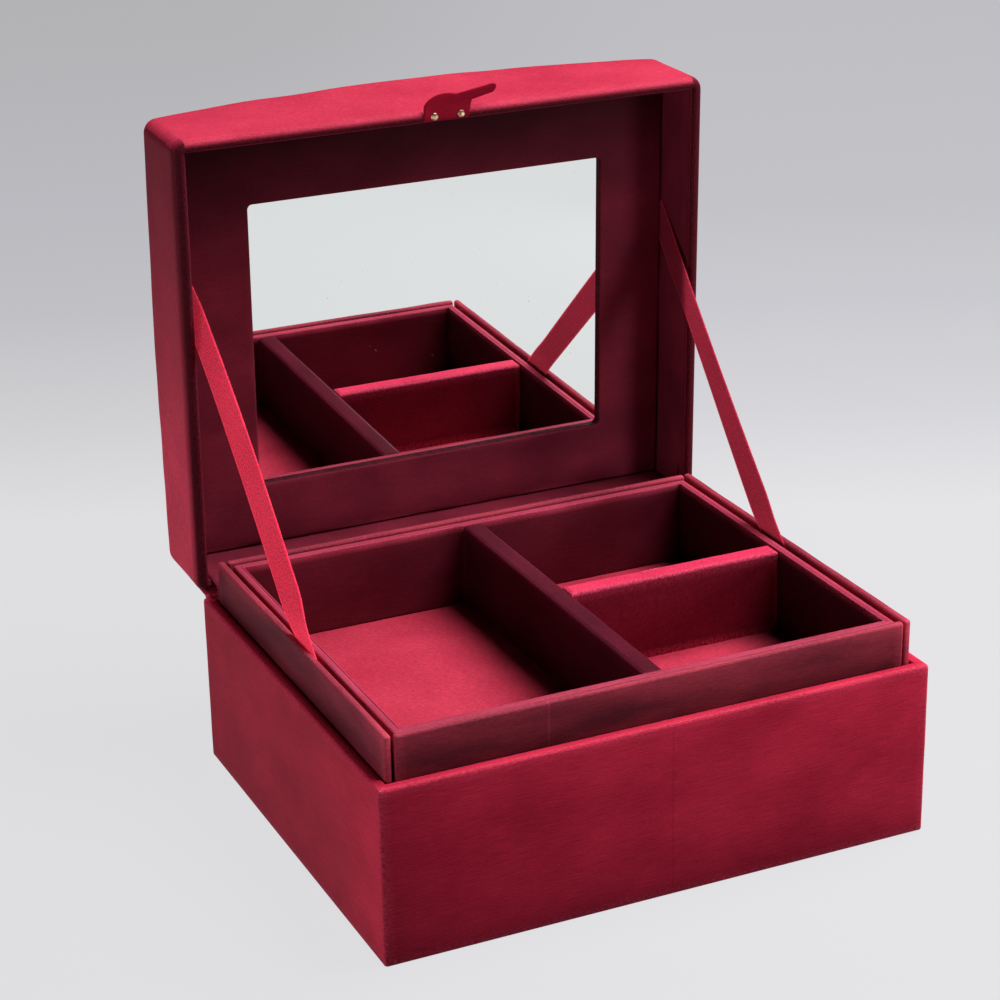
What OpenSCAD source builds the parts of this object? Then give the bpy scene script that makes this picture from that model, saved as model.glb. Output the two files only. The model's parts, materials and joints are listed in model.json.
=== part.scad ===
// Cloth-covered jewellery box with a lift-out tray and a mirror in its lid.
// Origin: centre of the underside of the base. The front faces -Y, +Z is up.
// The lid is drawn shut and then turned open about its cloth hinge at the back.

/* [Base] */
// Width of the base across its cloth
box_w = 180; // [160:1:220]
// Depth of the base, front to back
box_d = 149; // [132:1:180]
// Height of the base up to its rim
base_h = 56.5; // [48:0.5:80]
// Thickness of the card in the base's walls
base_card_t = 2.8; // [2:0.1:3.6]
// Thickness of the card in the base's floor
floor_card_t = 2.8; // [2:0.1:4]
// Thickness of the cloth-faced pad on the floor
floor_pad_t = 1.2; // [0.8:0.1:3]
// Radius of the upright corners of the base
corner_r = 1.2; // [0.8:0.1:2.4]
// How far the cloth turns down inside the rim
rim_turn = 14; // [8:1:24]
// How far the cloth turns in under the bottom
hem_turn = 12; // [6:1:20]

/* [Cloth] */
// Thickness of the satin that wraps the card
cloth_t = 0.4; // [0.3:0.05:0.6]
// Width of the stay ribbons
ribbon_w = 11.4; // [8:0.2:14]
// Thickness of the stay ribbons
ribbon_t = 0.3; // [0.2:0.05:0.5]
// Length of ribbon that is glued down inside the collar
ribbon_tail = 22; // [12:1:26]
// How far in front of the hinge the left ribbon leaves the collar
ribbon_foot_left = 77.5; // [56:0.5:80]
// How far in front of the hinge the right ribbon leaves the collar
ribbon_foot_right = 64.5; // [56:0.5:80]
// How far up the lid the left ribbon is fixed, from the hinge
ribbon_head_left = 108; // [90:0.5:112]
// How far up the lid the right ribbon is fixed, from the hinge
ribbon_head_right = 97; // [90:0.5:112]
// Length over which a ribbon swings outwards below its upper end
ribbon_swing = 40; // [20:1:60]
// Length of each leg of the hinge cloth
hinge_leg = 22; // [14:1:28]

/* [Collar] */
// Thickness of the card in the collar
collar_card_t = 1.6; // [1.2:0.1:2.4]
// Height of the collar above the rim
collar_rise = 13.6; // [10:0.2:16]
// Play between the collar and the base's walls
collar_fit = 0.4; // [0.2:0.05:0.6]
// Room behind the collar for the hinge lining
hinge_room = 1; // [0.8:0.1:1.6]
// How far the side boards' ends stand back from the front board
collar_end_set = 0.8; // [0.4:0.1:1.6]
// Slit between the front or back board and a side board
collar_slit = 0.6; // [0.3:0.1:1]

/* [Tray] */
// Thickness of the card in the tray's walls
tray_card_t = 2.2; // [1.6:0.1:3]
// Thickness of the card in the tray's floor
tray_floor_t = 2; // [1.4:0.1:3]
// Depth of the tray from its rim to its lining
tray_depth = 27.9; // [18:0.1:34]
// How far the tray's rim lies below the top of the collar
tray_drop = 0.7; // [0.4:0.1:2]
// Play between the tray and the side boards of the collar
tray_side_gap = 1.6; // [1:0.1:2.4]
// Play in front of the tray
tray_front_gap = 0.6; // [0.4:0.1:1.6]
// Play behind the tray
tray_back_gap = 0.8; // [0.4:0.1:1.6]
// Thickness of the padded lining on the tray's floor
tray_pad_t = 1.4; // [1:0.1:2.4]
// Thickness of the stiff core of a divider
divider_core_t = 6.2; // [3:0.1:8]
// How far the dividers lie below the tray's rim
divider_drop = 0.4; // [0:0.1:3]
// Place of the long divider, from the middle
long_divider_x = 1.1; // [-30:0.1:30]
// Place of the short divider, from the middle
short_divider_y = 0.2; // [-24:0.1:24]
// Width of the ledges that carry the tray
ledge_w = 4; // [3:0.2:8]
// Play around linings and between loose cards
lay_fit = 0.3; // [0.2:0.05:0.5]

/* [Lid] */
// Angle at which the ribbons stop the lid
open_angle = 88.5; // [80:0.5:92]
// Gap between the two rims when the lid is shut
rim_gap = 1.2; // [1:0.1:1.6]
// How far the lid stands out over the base at each side
lid_side_over = 1.2; // [0.8:0.1:2]
// How far the lid stands out over the base in front
lid_front_over = 1.5; // [1.2:0.1:2.4]
// Height of the lid at its side walls
lid_side_h = 34.5; // [30:0.5:42]
// Rise of the arched top over the side walls
lid_rise = 13; // [8:0.5:18]
// Extra rise of the padding in the middle of the top
lid_crown = 2.5; // [0.5:0.5:5]
// Radius of the soft edges around the top
lid_edge_r = 4.5; // [3:0.5:5]
// Radius of the upright corners of the lid
lid_corner_r = 4.4; // [1:0.1:5]
// Thickness of the lid's cloth with its thin wadding
lid_cover_t = 0.8; // [0.6:0.1:1]
// Thickness of the card in the lid's walls
lid_card_t = 2.6; // [2:0.1:3]
// Thickness of the lining inside the lid's walls
lid_lining_t = 0.6; // [0.4:0.1:0.8]
// Thickness of the bent card in the lid's top
lid_top_card_t = 2; // [1.4:0.1:2.4]
// Thickness of the wadding at the edges of the top
lid_pad_t = 4.2; // [4:0.1:6]

/* [Mirror] */
// Depth of the mirror's frame below the lid's rim
frame_depth = 20.7; // [18:0.1:22]
// Thickness of the card of the mirror's frame
frame_card_t = 1.6; // [1:0.1:2]
// Play between the mirror's frame and the lid's lining
frame_fit = 0.5; // [0.4:0.1:0.9]
// Width of the mirror's window
window_w = 125; // [90:0.5:140]
// Height of the mirror's window
window_h = 95.5; // [70:0.5:110]
// Place of the window across the lid, from the middle
window_x = 1.5; // [-6:0.5:6]
// Place of the middle of the window, from the hinge
window_up = 73.5; // [68:0.5:80]
// Thickness of the mirror's glass
glass_t = 1.8; // [1.4:0.1:3]
// How far the glass reaches behind the frame
glass_lap = 6; // [3:0.5:10]
// Thickness of the card behind the mirror
backing_t = 1; // [0.6:0.1:1.4]
// Width of the card rests between the frame and the top
rest_w = 8; // [5:0.5:10]

/* [Pull tab] */
// Width of the tab's plate on the lid's rim
tab_w = 15.6; // [12:0.2:22]
// Place of the tab, from the middle
tab_x = -0.7; // [-20:0.1:20]
// Thickness of the tab's doubled cloth
tab_t = 0.9; // [0.7:0.1:1]
// How far the tab stands out past the lid's front
tab_out = 5.4; // [4:0.2:9]
// Length of the tab's narrow tongue, from the middle
tongue_len = 16; // [10:0.5:24]
// Width of the tab's narrow tongue
tongue_w = 3.2; // [2:0.1:4.4]
// Distance between the two rivets
rivet_pitch = 9.2; // [7:0.2:11]
// Radius of a rivet's head
rivet_r = 1.25; // [0.9:0.05:1.8]
// Radius of a rivet's shank
shank_r = 0.5; // [0.3:0.05:0.7]
// Length of a rivet's shank in the card
shank_len = 4; // [2:0.5:8]

/* [Hidden] */

// Clearance that lets a cut pass its solid
eps = 0.5;
$fn = 48;

// Base: insets from its outer faces
half_w = box_w / 2;
half_d = box_d / 2;
wall_in = cloth_t + base_card_t;
collar_at = wall_in + cloth_t + collar_fit;
floor_z = cloth_t + floor_card_t;

// Collar: a frame of four wrapped boards
collar_t = collar_card_t + 2 * cloth_t;
collar_top = base_h + collar_rise;
collar_x = half_w - collar_at;
collar_front = -half_d + collar_at;
collar_back = half_d - collar_at - hinge_room;
room_x = collar_x - collar_t;
room_front = collar_front + collar_t;
room_back = collar_back - collar_t;

// Tray
tray_t = tray_card_t + 2 * cloth_t;
tray_x = room_x - tray_side_gap;
tray_front = room_front + tray_front_gap;
tray_back = room_back - tray_back_gap;
tray_rim = collar_top - tray_drop;
tray_lining = tray_rim - tray_depth;
tray_board_top = tray_lining - tray_pad_t;
tray_bottom = tray_board_top - tray_floor_t - cloth_t;
cell_x = tray_x - tray_t;
cell_front = tray_front + tray_t;
cell_back = tray_back - tray_t;
divider_t = divider_core_t + 2 * cloth_t;
divider_top = tray_rim - divider_drop;
long_left = long_divider_x - divider_t / 2;
long_right = long_divider_x + divider_t / 2;
short_front = short_divider_y - divider_t / 2;
short_back = short_divider_y + divider_t / 2;
pad_z = floor_z + floor_pad_t;

// Lid, drawn shut: its rim plane, walls and arch
hinge_y = half_d;
hinge_z = base_h + rim_gap / 2;
lid_z = base_h + rim_gap;
lid_x = half_w + lid_side_over;
lid_front = -half_d - lid_front_over;
lid_back = half_d;
lid_mid = (lid_front + lid_back) / 2;
lid_half_len = (lid_back - lid_front) / 2;
lid_wall = lid_cover_t + lid_card_t + lid_lining_t;
arch_r = (lid_x * lid_x + lid_rise * lid_rise) / (2 * lid_rise);
arch_z = lid_side_h + lid_rise - arch_r;
top_card_r = arch_r - lid_cover_t - lid_pad_t;
under_card_r = top_card_r - lid_top_card_t;

// Mirror, as heights over the rim plane
frame_z = lid_z + frame_depth;
frame_back_z = frame_z + cloth_t + frame_card_t;
glass_back_z = frame_back_z + glass_t;
window_y = lid_back - window_up;
frame_x = lid_x - lid_wall - frame_fit;
frame_front = lid_front + lid_wall + frame_fit;
frame_back = lid_back - lid_wall - frame_fit;

// Pull tab: its bend lies just past the lid's front
tab_bend = 0.7;
bend_t = 0.5;
tab_sink = 0.5;
head_h = 0.4;
tab_root = 4;

// Colours of the cloth, the card and the metal
crimson = "#9c1d3a";
deep_red = "#7a1730";
lining_red = "#b92547";
ribbon_red = "#d22a52";
card_grey = "#a79f93";
wadding = "#e6e2da";
glass_blue = "#c9d6da";
brass = "#b59a58";

// Rectangle between two corners
module plate(x0, x1, y0, y1, z0, z1)
    translate([x0, y0, z0]) cube([x1 - x0, y1 - y0, z1 - z0]);

// Upright block with rounded corners, centred in X
module soft_block(half_x, y0, y1, z0, z1, r)
    translate([0, 0, z0]) linear_extrude(z1 - z0) {
        translate([-half_x + r, y0]) square([2 * half_x - 2 * r, y1 - y0]);
        translate([-half_x, y0 + r]) square([2 * half_x, y1 - y0 - 2 * r]);
        for (sx = [-1, 1], y = [y0 + r, y1 - r])
            translate([sx * (half_x - r), y]) circle(r);
    }

// Board wrapped in cloth: the card inside, or the skin of cloth around it
module wrapped_card(x0, x1, y0, y1, z0, z1)
    plate(x0 + cloth_t, x1 - cloth_t, y0 + cloth_t, y1 - cloth_t, z0 + cloth_t, z1 - cloth_t);
module wrapping(x0, x1, y0, y1, z0, z1)
    difference() {
        plate(x0, x1, y0, y1, z0, z1);
        wrapped_card(x0, x1, y0, y1, z0, z1);
    }

// Turns what is drawn shut to the angle where the ribbons stop it
module opened()
    translate([0, hinge_y, hinge_z]) rotate([-open_angle, 0, 0])
        translate([0, -hinge_y, -hinge_z]) children();

// Closed solid through rings of points, all rings with as many points
module loft(rings) {
    n = len(rings[0]);
    last = len(rings) - 1;
    points = [for (ring = rings, p = ring) p];
    sides = [for (k = [0 : last - 1], i = [0 : n - 1])
        [k * n + i, k * n + (i + 1) % n, (k + 1) * n + (i + 1) % n, (k + 1) * n + i]];
    first_cap = [for (i = [n - 1 : -1 : 0]) i];
    last_cap = [for (i = [0 : n - 1]) last * n + i];
    polyhedron(points, concat(sides, [first_cap, last_cap]), convexity = 4);
}

// Outline of the lid across its width: two walls, two soft edges and the arch
edge_steps = 5;
arch_steps = 22;
function lid_outline(side_in, top_in, lift) =
    let (x = lid_x - side_in, r_big = arch_r - top_in, c = arch_z + lift,
        r = max(lid_edge_r - max(side_in, top_in), 0.4),
        edge_z = c + sqrt(pow(r_big - r, 2) - pow(x - r, 2)),
        turn = atan2(edge_z - c, x - r))
    concat(
        [[x, 0]],
        [for (i = [0 : edge_steps]) let (a = turn * i / edge_steps)
            [x - r + r * cos(a), edge_z + r * sin(a)]],
        [for (i = [1 : arch_steps - 1]) let (a = turn + (180 - 2 * turn) * i / arch_steps)
            [r_big * cos(a), c + r_big * sin(a)]],
        [for (i = [edge_steps : -1 : 0]) let (a = turn * i / edge_steps)
            [-x + r - r * cos(a), edge_z + r * sin(a)]],
        [[-x, 0]]);

// Places of the outlines along the lid, closest together in the rounded ends
end_steps = 6;
span_steps = 4;
function rounding(d, r) = d >= r ? 0 : r - sqrt(r * r - (r - d) * (r - d));
function crown_lift(y, inset) =
    let (t = (y - lid_mid) / (lid_half_len - inset)) lid_crown * (1 - t * t);
function end_places(inset) =
    let (r = lid_edge_r - inset)
    [for (i = [0 : end_steps]) r * (1 - cos(90 * i / end_steps))];
function span_places(inset) =
    let (reach = lid_half_len - lid_edge_r)
    [for (i = [1 : span_steps - 1]) lid_half_len - inset - reach + 2 * reach * i / span_steps];
function reversed(list) = [for (i = [len(list) - 1 : -1 : 0]) list[i]];

// The lid's outer form, or the same form drawn in by an inset
module lid_form(inset) {
    length = 2 * (lid_half_len - inset);
    ends = end_places(inset);
    places = concat(ends, span_places(inset), [for (d = reversed(ends)) length - d]);
    loft([for (p = places)
        let (d = min(p, length - p), y = lid_front + inset + p,
            side_in = inset + rounding(d, lid_corner_r - inset),
            top_in = inset + rounding(d, lid_edge_r - inset))
        [for (q = lid_outline(side_in, top_in, crown_lift(y, inset)))
            [q[0], y, lid_z + q[1]]]]);
}

// Everything under an arch of the given radius
arch_fn = 360;
module under_arch(r)
    translate([0, lid_back + eps, lid_z + arch_z]) rotate([90, 0, 0])
        cylinder(r = r, h = lid_back - lid_front + 2 * eps, $fn = arch_fn);

// Block inside the lid whose top follows the bent card
module arched_block(x0, x1, y0, y1, z0)
    intersection() {
        plate(x0, x1, y0, y1, z0, lid_z + lid_side_h + lid_rise);
        under_arch(under_card_r);
    }

// Room inside the lid's cloth, its corners eased so that no card presses into the cloth
corner_ease = 1;
module lid_blank()
    soft_block(lid_x - lid_cover_t, lid_front + lid_cover_t, lid_back - lid_cover_t,
        lid_z, lid_z + lid_side_h + lid_rise, lid_corner_r - lid_cover_t + corner_ease);

module base_floor_board()
    color(card_grey)
        plate(-half_w + wall_in, half_w - wall_in, -half_d + wall_in, half_d - wall_in,
            cloth_t, floor_z);

// Front and back walls run the full width, the side walls fit between them
module base_long_board(y0)
    color(card_grey)
        plate(-half_w + cloth_t, half_w - cloth_t, y0, y0 + base_card_t,
            cloth_t, base_h - cloth_t);
module base_front_board() base_long_board(-half_d + cloth_t);
module base_back_board() base_long_board(half_d - wall_in);

module base_side_board(x0)
    color(card_grey)
        plate(x0, x0 + base_card_t, -half_d + wall_in, half_d - wall_in,
            cloth_t, base_h - cloth_t);
module base_left_board() base_side_board(-half_w + cloth_t);
module base_right_board() base_side_board(half_w - wall_in);

// One cloth around the walls, over the rim, down inside it and in under the bottom
module base_cover()
    color(crimson) difference() {
        soft_block(half_w, -half_d, half_d, 0, base_h, corner_r);
        plate(-half_w + cloth_t, half_w - cloth_t, -half_d + cloth_t, half_d - cloth_t,
            cloth_t, base_h - rim_turn);
        difference() {
            plate(-half_w + cloth_t, half_w - cloth_t, -half_d + cloth_t, half_d - cloth_t,
                base_h - rim_turn - eps, base_h - cloth_t);
            plate(-half_w + wall_in, half_w - wall_in, -half_d + wall_in, half_d - wall_in,
                base_h - rim_turn - 2 * eps, base_h);
        }
        plate(-half_w + wall_in + cloth_t, half_w - wall_in - cloth_t,
            -half_d + wall_in + cloth_t, half_d - wall_in - cloth_t,
            base_h - rim_turn - eps, base_h + eps);
        plate(-half_w + hem_turn, half_w - hem_turn, -half_d + hem_turn, half_d - hem_turn,
            -eps, cloth_t + eps);
    }

module base_bottom_sheet()
    color(deep_red)
        plate(-half_w + hem_turn, half_w - hem_turn, -half_d + hem_turn, half_d - hem_turn,
            0, cloth_t);

module base_floor_pad()
    color(lining_red)
        plate(-room_x + lay_fit, room_x - lay_fit, room_front + lay_fit, room_back - lay_fit,
            floor_z, pad_z);

// The collar's side boards run the full depth, the front and back ones fit between
module collar_side_span(part)
    if (part == "card")
        wrapped_card(room_x, collar_x, collar_front + collar_end_set, collar_back,
            floor_z, collar_top);
    else
        wrapping(room_x, collar_x, collar_front + collar_end_set, collar_back,
            floor_z, collar_top);
module collar_cross_span(part, y0)
    if (part == "card")
        wrapped_card(-room_x + collar_slit, room_x - collar_slit, y0, y0 + collar_t,
            floor_z, collar_top);
    else
        wrapping(-room_x + collar_slit, room_x - collar_slit, y0, y0 + collar_t,
            floor_z, collar_top);

module collar_front_board() color(card_grey) collar_cross_span("card", collar_front);
module collar_back_board() color(card_grey) collar_cross_span("card", room_back);
module collar_right_board() color(card_grey) collar_side_span("card");
module collar_left_board() color(card_grey) mirror([1, 0, 0]) collar_side_span("card");
module collar_front_cloth() color(deep_red) collar_cross_span("cloth", collar_front);
module collar_back_cloth() color(deep_red) collar_cross_span("cloth", room_back);
module collar_right_cloth() color(deep_red) collar_side_span("cloth");
module collar_left_cloth() color(deep_red) mirror([1, 0, 0]) collar_side_span("cloth");

// Wrapped strips along the sides that the tray stands on
module tray_ledge_right()
    color(deep_red)
        plate(room_x - ledge_w, room_x, room_front + lay_fit, room_back - lay_fit,
            pad_z, tray_bottom);
module tray_ledge_left() mirror([1, 0, 0]) tray_ledge_right();

// Cloth glued down the back of the base and, past the bend, to the lid's back
module hinge_cloth()
    color(crimson) {
        plate(-half_w + corner_r, half_w - corner_r, hinge_y, hinge_y + cloth_t,
            base_h - hinge_leg, hinge_z - cloth_t);
        plate(-half_w + corner_r, half_w - corner_r, hinge_y, hinge_y + cloth_t,
            hinge_z - cloth_t - eps, hinge_z - cloth_t / 2);
        opened() plate(-half_w + corner_r, half_w - corner_r, hinge_y, hinge_y + cloth_t,
            hinge_z - cloth_t / 2, hinge_z + hinge_leg);
    }

// Cloth inside the hinge: from the base's back wall over the rim to the lid's back wall
lining_bend = 2;
lining_y = half_d - wall_in - 2 * cloth_t;
lining_z = hinge_z + lid_wall;
module hinge_lining()
    color(deep_red) {
        plate(-collar_x, collar_x, lining_y, lining_y + cloth_t,
            base_h - hinge_leg / 2, lining_z - lining_bend);
        translate([-collar_x, lining_y + cloth_t + lining_bend, lining_z - lining_bend])
            rotate([90, 0, 90]) intersection() {
                difference() {
                    cylinder(r = lining_bend + cloth_t, h = 2 * collar_x);
                    translate([0, 0, -eps]) cylinder(r = lining_bend, h = 2 * collar_x + 2 * eps);
                }
                translate([-lining_bend - cloth_t, 0, 0])
                    cube([lining_bend + cloth_t, lining_bend + cloth_t, 2 * collar_x]);
            }
        plate(-collar_x, collar_x, lining_y + cloth_t + lining_bend, hinge_y + rim_gap / 4,
            lining_z, lining_z + cloth_t);
        opened() plate(-collar_x, collar_x, lid_back - lid_wall - cloth_t, lid_back - lid_wall,
            hinge_z, frame_z - lay_fit);
    }

// Stay ribbon: taut from behind the mirror's frame down into the gap beside the tray,
// flat against the collar and swinging outwards to the lid's side at its upper end
hidden_depth = 3;
frame_lift = frame_depth + rim_gap / 2;
head_x = frame_x + (frame_fit - ribbon_t) / 2;
foot_x = room_x - ribbon_t;
swing_steps = 5;
function smooth(q) = q * q * (3 - 2 * q);
module stay_ribbon(foot, head) {
    foot_y = hinge_y - foot;
    head_y = hinge_y - head * cos(open_angle) + frame_lift * sin(open_angle);
    head_z = hinge_z + head * sin(open_angle) + frame_lift * cos(open_angle);
    slope = atan2(head_z - collar_top, head_y - foot_y);
    length = norm([head_y - foot_y, head_z - collar_top]);
    lean = slope + open_angle - 90;
    swing_from = length - ribbon_swing;
    swing_to = length - ribbon_w;
    swing = [for (i = [0 : swing_steps]) let (q = i / swing_steps)
        [swing_from + (swing_to - swing_from) * q, q, 0]];
    stations = concat([[-ribbon_tail, 0, 0], [0, 0, 0]], swing, [[length, 1, 1]]);
    loft([for (station = stations) [for (c = [[0, -1], [1, -1], [1, 1], [0, 1]])
        let (end_cut = (hidden_depth + c[1] * sin(lean) * ribbon_w / 2) / cos(lean),
            run = station[0] + station[2] * end_cut)
        [foot_x + (head_x - foot_x) * smooth(station[1]) + c[0] * ribbon_t,
            foot_y + run * cos(slope) - c[1] * sin(slope) * ribbon_w / 2,
            collar_top + run * sin(slope) + c[1] * cos(slope) * ribbon_w / 2]]]);
}
module ribbon_right() color(ribbon_red) stay_ribbon(ribbon_foot_right, ribbon_head_right);
module ribbon_left()
    color(ribbon_red) mirror([1, 0, 0]) stay_ribbon(ribbon_foot_left, ribbon_head_left);

module tray_floor_board()
    color(card_grey)
        plate(-tray_x + cloth_t, tray_x - cloth_t, tray_front + cloth_t, tray_back - cloth_t,
            tray_bottom + cloth_t, tray_board_top);
module tray_bottom_sheet()
    color(deep_red)
        plate(-tray_x + cloth_t, tray_x - cloth_t, tray_front + cloth_t, tray_back - cloth_t,
            tray_bottom, tray_bottom + cloth_t);

module tray_cross_board(y0)
    color(card_grey)
        plate(-tray_x + cloth_t + tray_card_t, tray_x - cloth_t - tray_card_t,
            y0, y0 + tray_card_t, tray_board_top, tray_rim - cloth_t);
module tray_front_board() tray_cross_board(tray_front + cloth_t);
module tray_back_board() tray_cross_board(tray_back - cloth_t - tray_card_t);

module tray_right_board()
    color(card_grey)
        plate(tray_x - cloth_t - tray_card_t, tray_x - cloth_t,
            tray_front + cloth_t, tray_back - cloth_t, tray_board_top, tray_rim - cloth_t);
module tray_left_board() mirror([1, 0, 0]) tray_right_board();

// Cloth outside the tray, over its rim and down inside to the floor board
module tray_cloth()
    color(crimson) difference() {
        plate(-tray_x, tray_x, tray_front, tray_back, tray_bottom, tray_rim);
        plate(-tray_x + cloth_t, tray_x - cloth_t, tray_front + cloth_t, tray_back - cloth_t,
            tray_bottom - eps, tray_board_top);
        difference() {
            plate(-tray_x + cloth_t, tray_x - cloth_t, tray_front + cloth_t,
                tray_back - cloth_t, tray_board_top - eps, tray_rim - cloth_t);
            plate(-cell_x - cloth_t, cell_x + cloth_t, cell_front - cloth_t,
                cell_back + cloth_t, tray_board_top - 2 * eps, tray_rim);
        }
        plate(-cell_x, cell_x, cell_front, cell_back, tray_board_top - eps, tray_rim + eps);
    }

module long_divider_core()
    color(card_grey)
        wrapped_card(long_left, long_right, cell_front, cell_back, tray_lining, divider_top);
module long_divider_cloth()
    color(deep_red)
        wrapping(long_left, long_right, cell_front, cell_back, tray_lining, divider_top);
module short_divider_core()
    color(card_grey)
        wrapped_card(long_right, cell_x, short_front, short_back, tray_lining, divider_top);
module short_divider_cloth()
    color(lining_red)
        wrapping(long_right, cell_x, short_front, short_back, tray_lining, divider_top);

// The linings part under the dividers, so each fills its own share of the floor
module tray_pad_left()
    color(lining_red)
        plate(-cell_x, long_divider_x, cell_front, cell_back, tray_board_top, tray_lining);
module tray_pad_rear()
    color(lining_red)
        plate(long_divider_x, cell_x, short_divider_y, cell_back, tray_board_top, tray_lining);
module tray_pad_front()
    color(lining_red)
        plate(long_divider_x, cell_x, cell_front, short_divider_y, tray_board_top, tray_lining);

// Lid walls: the front and back run the full width under the arch
lid_card_x = lid_x - lid_cover_t;
lid_inner_x = lid_x - lid_wall;
module rivet_places()
    for (sx = [-1, 1])
        translate([tab_x + sx * rivet_pitch / 2, lid_front + tab_root / 2, lid_z]) children();
module lid_front_board()
    color(card_grey) opened() difference() {
        intersection() {
            arched_block(-lid_card_x, lid_card_x, lid_front + lid_cover_t,
                lid_front + lid_cover_t + lid_card_t, lid_z + lid_cover_t);
            lid_blank();
        }
        rivet_places() cylinder(r = shank_r, h = shank_len, $fn = 24);
    }
module lid_back_board()
    color(card_grey) opened() intersection() {
        arched_block(-lid_card_x, lid_card_x, lid_back - lid_cover_t - lid_card_t,
            lid_back - lid_cover_t, lid_z + lid_cover_t);
        lid_blank();
    }
module lid_side_shape()
    intersection() {
        arched_block(lid_card_x - lid_card_t, lid_card_x, lid_front + lid_cover_t + lid_card_t,
            lid_back - lid_cover_t - lid_card_t, lid_z + lid_cover_t);
        lid_blank();
    }
module lid_right_board() color(card_grey) opened() lid_side_shape();
module lid_left_board() color(card_grey) opened() mirror([1, 0, 0]) lid_side_shape();

// Bent card over the walls
module lid_top_board()
    color(card_grey) opened() difference() {
        intersection() {
            lid_blank();
            under_arch(top_card_r);
        }
        under_arch(under_card_r);
    }

// Wadding between the bent card and the cloth; its flats touch the card's round face
module lid_padding()
    color(wadding) opened() difference() {
        lid_form(lid_cover_t);
        under_arch(top_card_r / cos(180 / arch_fn));
    }

// Cloth over the lid's top and walls, wrapped around the rim
module lid_cover()
    color(crimson) opened() difference() {
        lid_form(0);
        intersection() {
            lid_form(lid_cover_t);
            translate([0, 0, lid_cover_t])
                plate(-lid_x, lid_x, lid_front, lid_back, lid_z,
                    lid_z + lid_side_h + lid_rise + lid_crown);
        }
        plate(-lid_inner_x, lid_inner_x, lid_front + lid_wall, lid_back - lid_wall,
            lid_z - eps, lid_z + lid_cover_t + eps);
        translate([tab_x - tab_w / 2, lid_front - eps, lid_z - eps])
            cube([tab_w, tab_root + eps, tab_sink + eps]);
        rivet_places() cylinder(r = shank_r, h = shank_len, $fn = 24);
    }

module lid_lining()
    color(deep_red) opened() difference() {
        plate(-lid_inner_x - lid_lining_t, lid_inner_x + lid_lining_t,
            lid_front + lid_wall - lid_lining_t, lid_back - lid_wall + lid_lining_t,
            lid_z + lid_cover_t, frame_back_z);
        plate(-lid_inner_x, lid_inner_x, lid_front + lid_wall, lid_back - lid_wall,
            lid_z, frame_back_z + eps);
    }

// Card rests that hold the mirror's frame down from the bent card
module mirror_rest_right()
    color(card_grey) opened()
        arched_block(frame_x - rest_w, frame_x, frame_front, frame_back, frame_back_z);
module mirror_rest_left()
    color(card_grey) opened() mirror([1, 0, 0])
        arched_block(frame_x - rest_w, frame_x, frame_front, frame_back, frame_back_z);

// Window through the mirror's frame, grown on every side
module window_cut(grow, z0, z1)
    plate(window_x - window_w / 2 - grow, window_x + window_w / 2 + grow,
        window_y - window_h / 2 - grow, window_y + window_h / 2 + grow, z0, z1);

module mirror_frame_board()
    color(card_grey) opened() difference() {
        plate(-frame_x, frame_x, frame_front, frame_back, frame_z + cloth_t, frame_back_z);
        window_cut(cloth_t, frame_z, frame_back_z + eps);
    }
// Cloth on the frame's face, turned back through the window
module mirror_frame_cloth()
    color(deep_red) opened() difference() {
        union() {
            plate(-frame_x, frame_x, frame_front, frame_back, frame_z, frame_z + cloth_t);
            window_cut(cloth_t, frame_z, frame_back_z);
        }
        window_cut(0, frame_z - eps, frame_back_z + eps);
    }
module mirror_glass()
    color(glass_blue) opened() window_cut(glass_lap, frame_back_z, glass_back_z);
module mirror_backing()
    color(card_grey) opened()
        window_cut(glass_lap - lay_fit, glass_back_z, glass_back_z + backing_t);

// Doubled cloth on the lid's rim, held by two rivets
module pull_tab_plate()
    color(lining_red) opened() difference() {
        plate(tab_x - tab_w / 2, tab_x + tab_w / 2, lid_front, lid_front + tab_root,
            lid_z + tab_sink - tab_t, lid_z + tab_sink);
        rivet_places() translate([0, 0, -tab_t]) cylinder(r = shank_r, h = 3 * tab_t, $fn = 24);
    }

module pull_tab_rivets()
    color(brass) opened() rivet_places() {
        translate([0, 0, tab_sink - tab_t - head_h]) cylinder(r = rivet_r, h = head_h);
        translate([0, 0, tab_sink - tab_t - eps / 2])
            cylinder(r = shank_r, h = shank_len - lay_fit + tab_t, $fn = 24);
    }

// Single cloth that bends between the plate and the tongue
tab_mid_z = lid_z + tab_sink - tab_t / 2;
flap_w = tab_w - 1;
module pull_tab_bend()
    color(lining_red) opened()
        plate(tab_x - flap_w / 2, tab_x + flap_w / 2, lid_front - tab_bend, lid_front,
            tab_mid_z - bend_t / 2, tab_mid_z + bend_t / 2);

// Free part of the tab past its bend: a round-cornered flap and a tongue to the right
tongue_rise = 12;
flap_len = tab_out - tab_bend;
tongue_drop = 0.7;
tongue_from = tab_w / 4;
tongue_run = tongue_len - tongue_from - tongue_w / 2 - tab_x;
module pull_tab_tongue()
    color(lining_red) opened()
        translate([tab_x, lid_front - tab_bend, tab_mid_z - tab_t / 2]) mirror([0, 1, 0])
            linear_extrude(tab_t) {
                translate([-tab_w / 2 + flap_len, 0]) square([tab_w - 2 * flap_len, flap_len]);
                translate([-tab_w / 2, 0]) square([tab_w, flap_len / 2]);
                intersection() {
                    translate([-tab_w / 2 + flap_len, 0]) circle(flap_len);
                    translate([-tab_w / 2, 0]) square(flap_len);
                }
                translate([tongue_from, flap_len - tongue_w - tongue_drop]) rotate(tongue_rise) {
                    square([tongue_run, tongue_w]);
                    translate([tongue_run, tongue_w / 2]) circle(tongue_w / 2);
                }
            }

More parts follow.
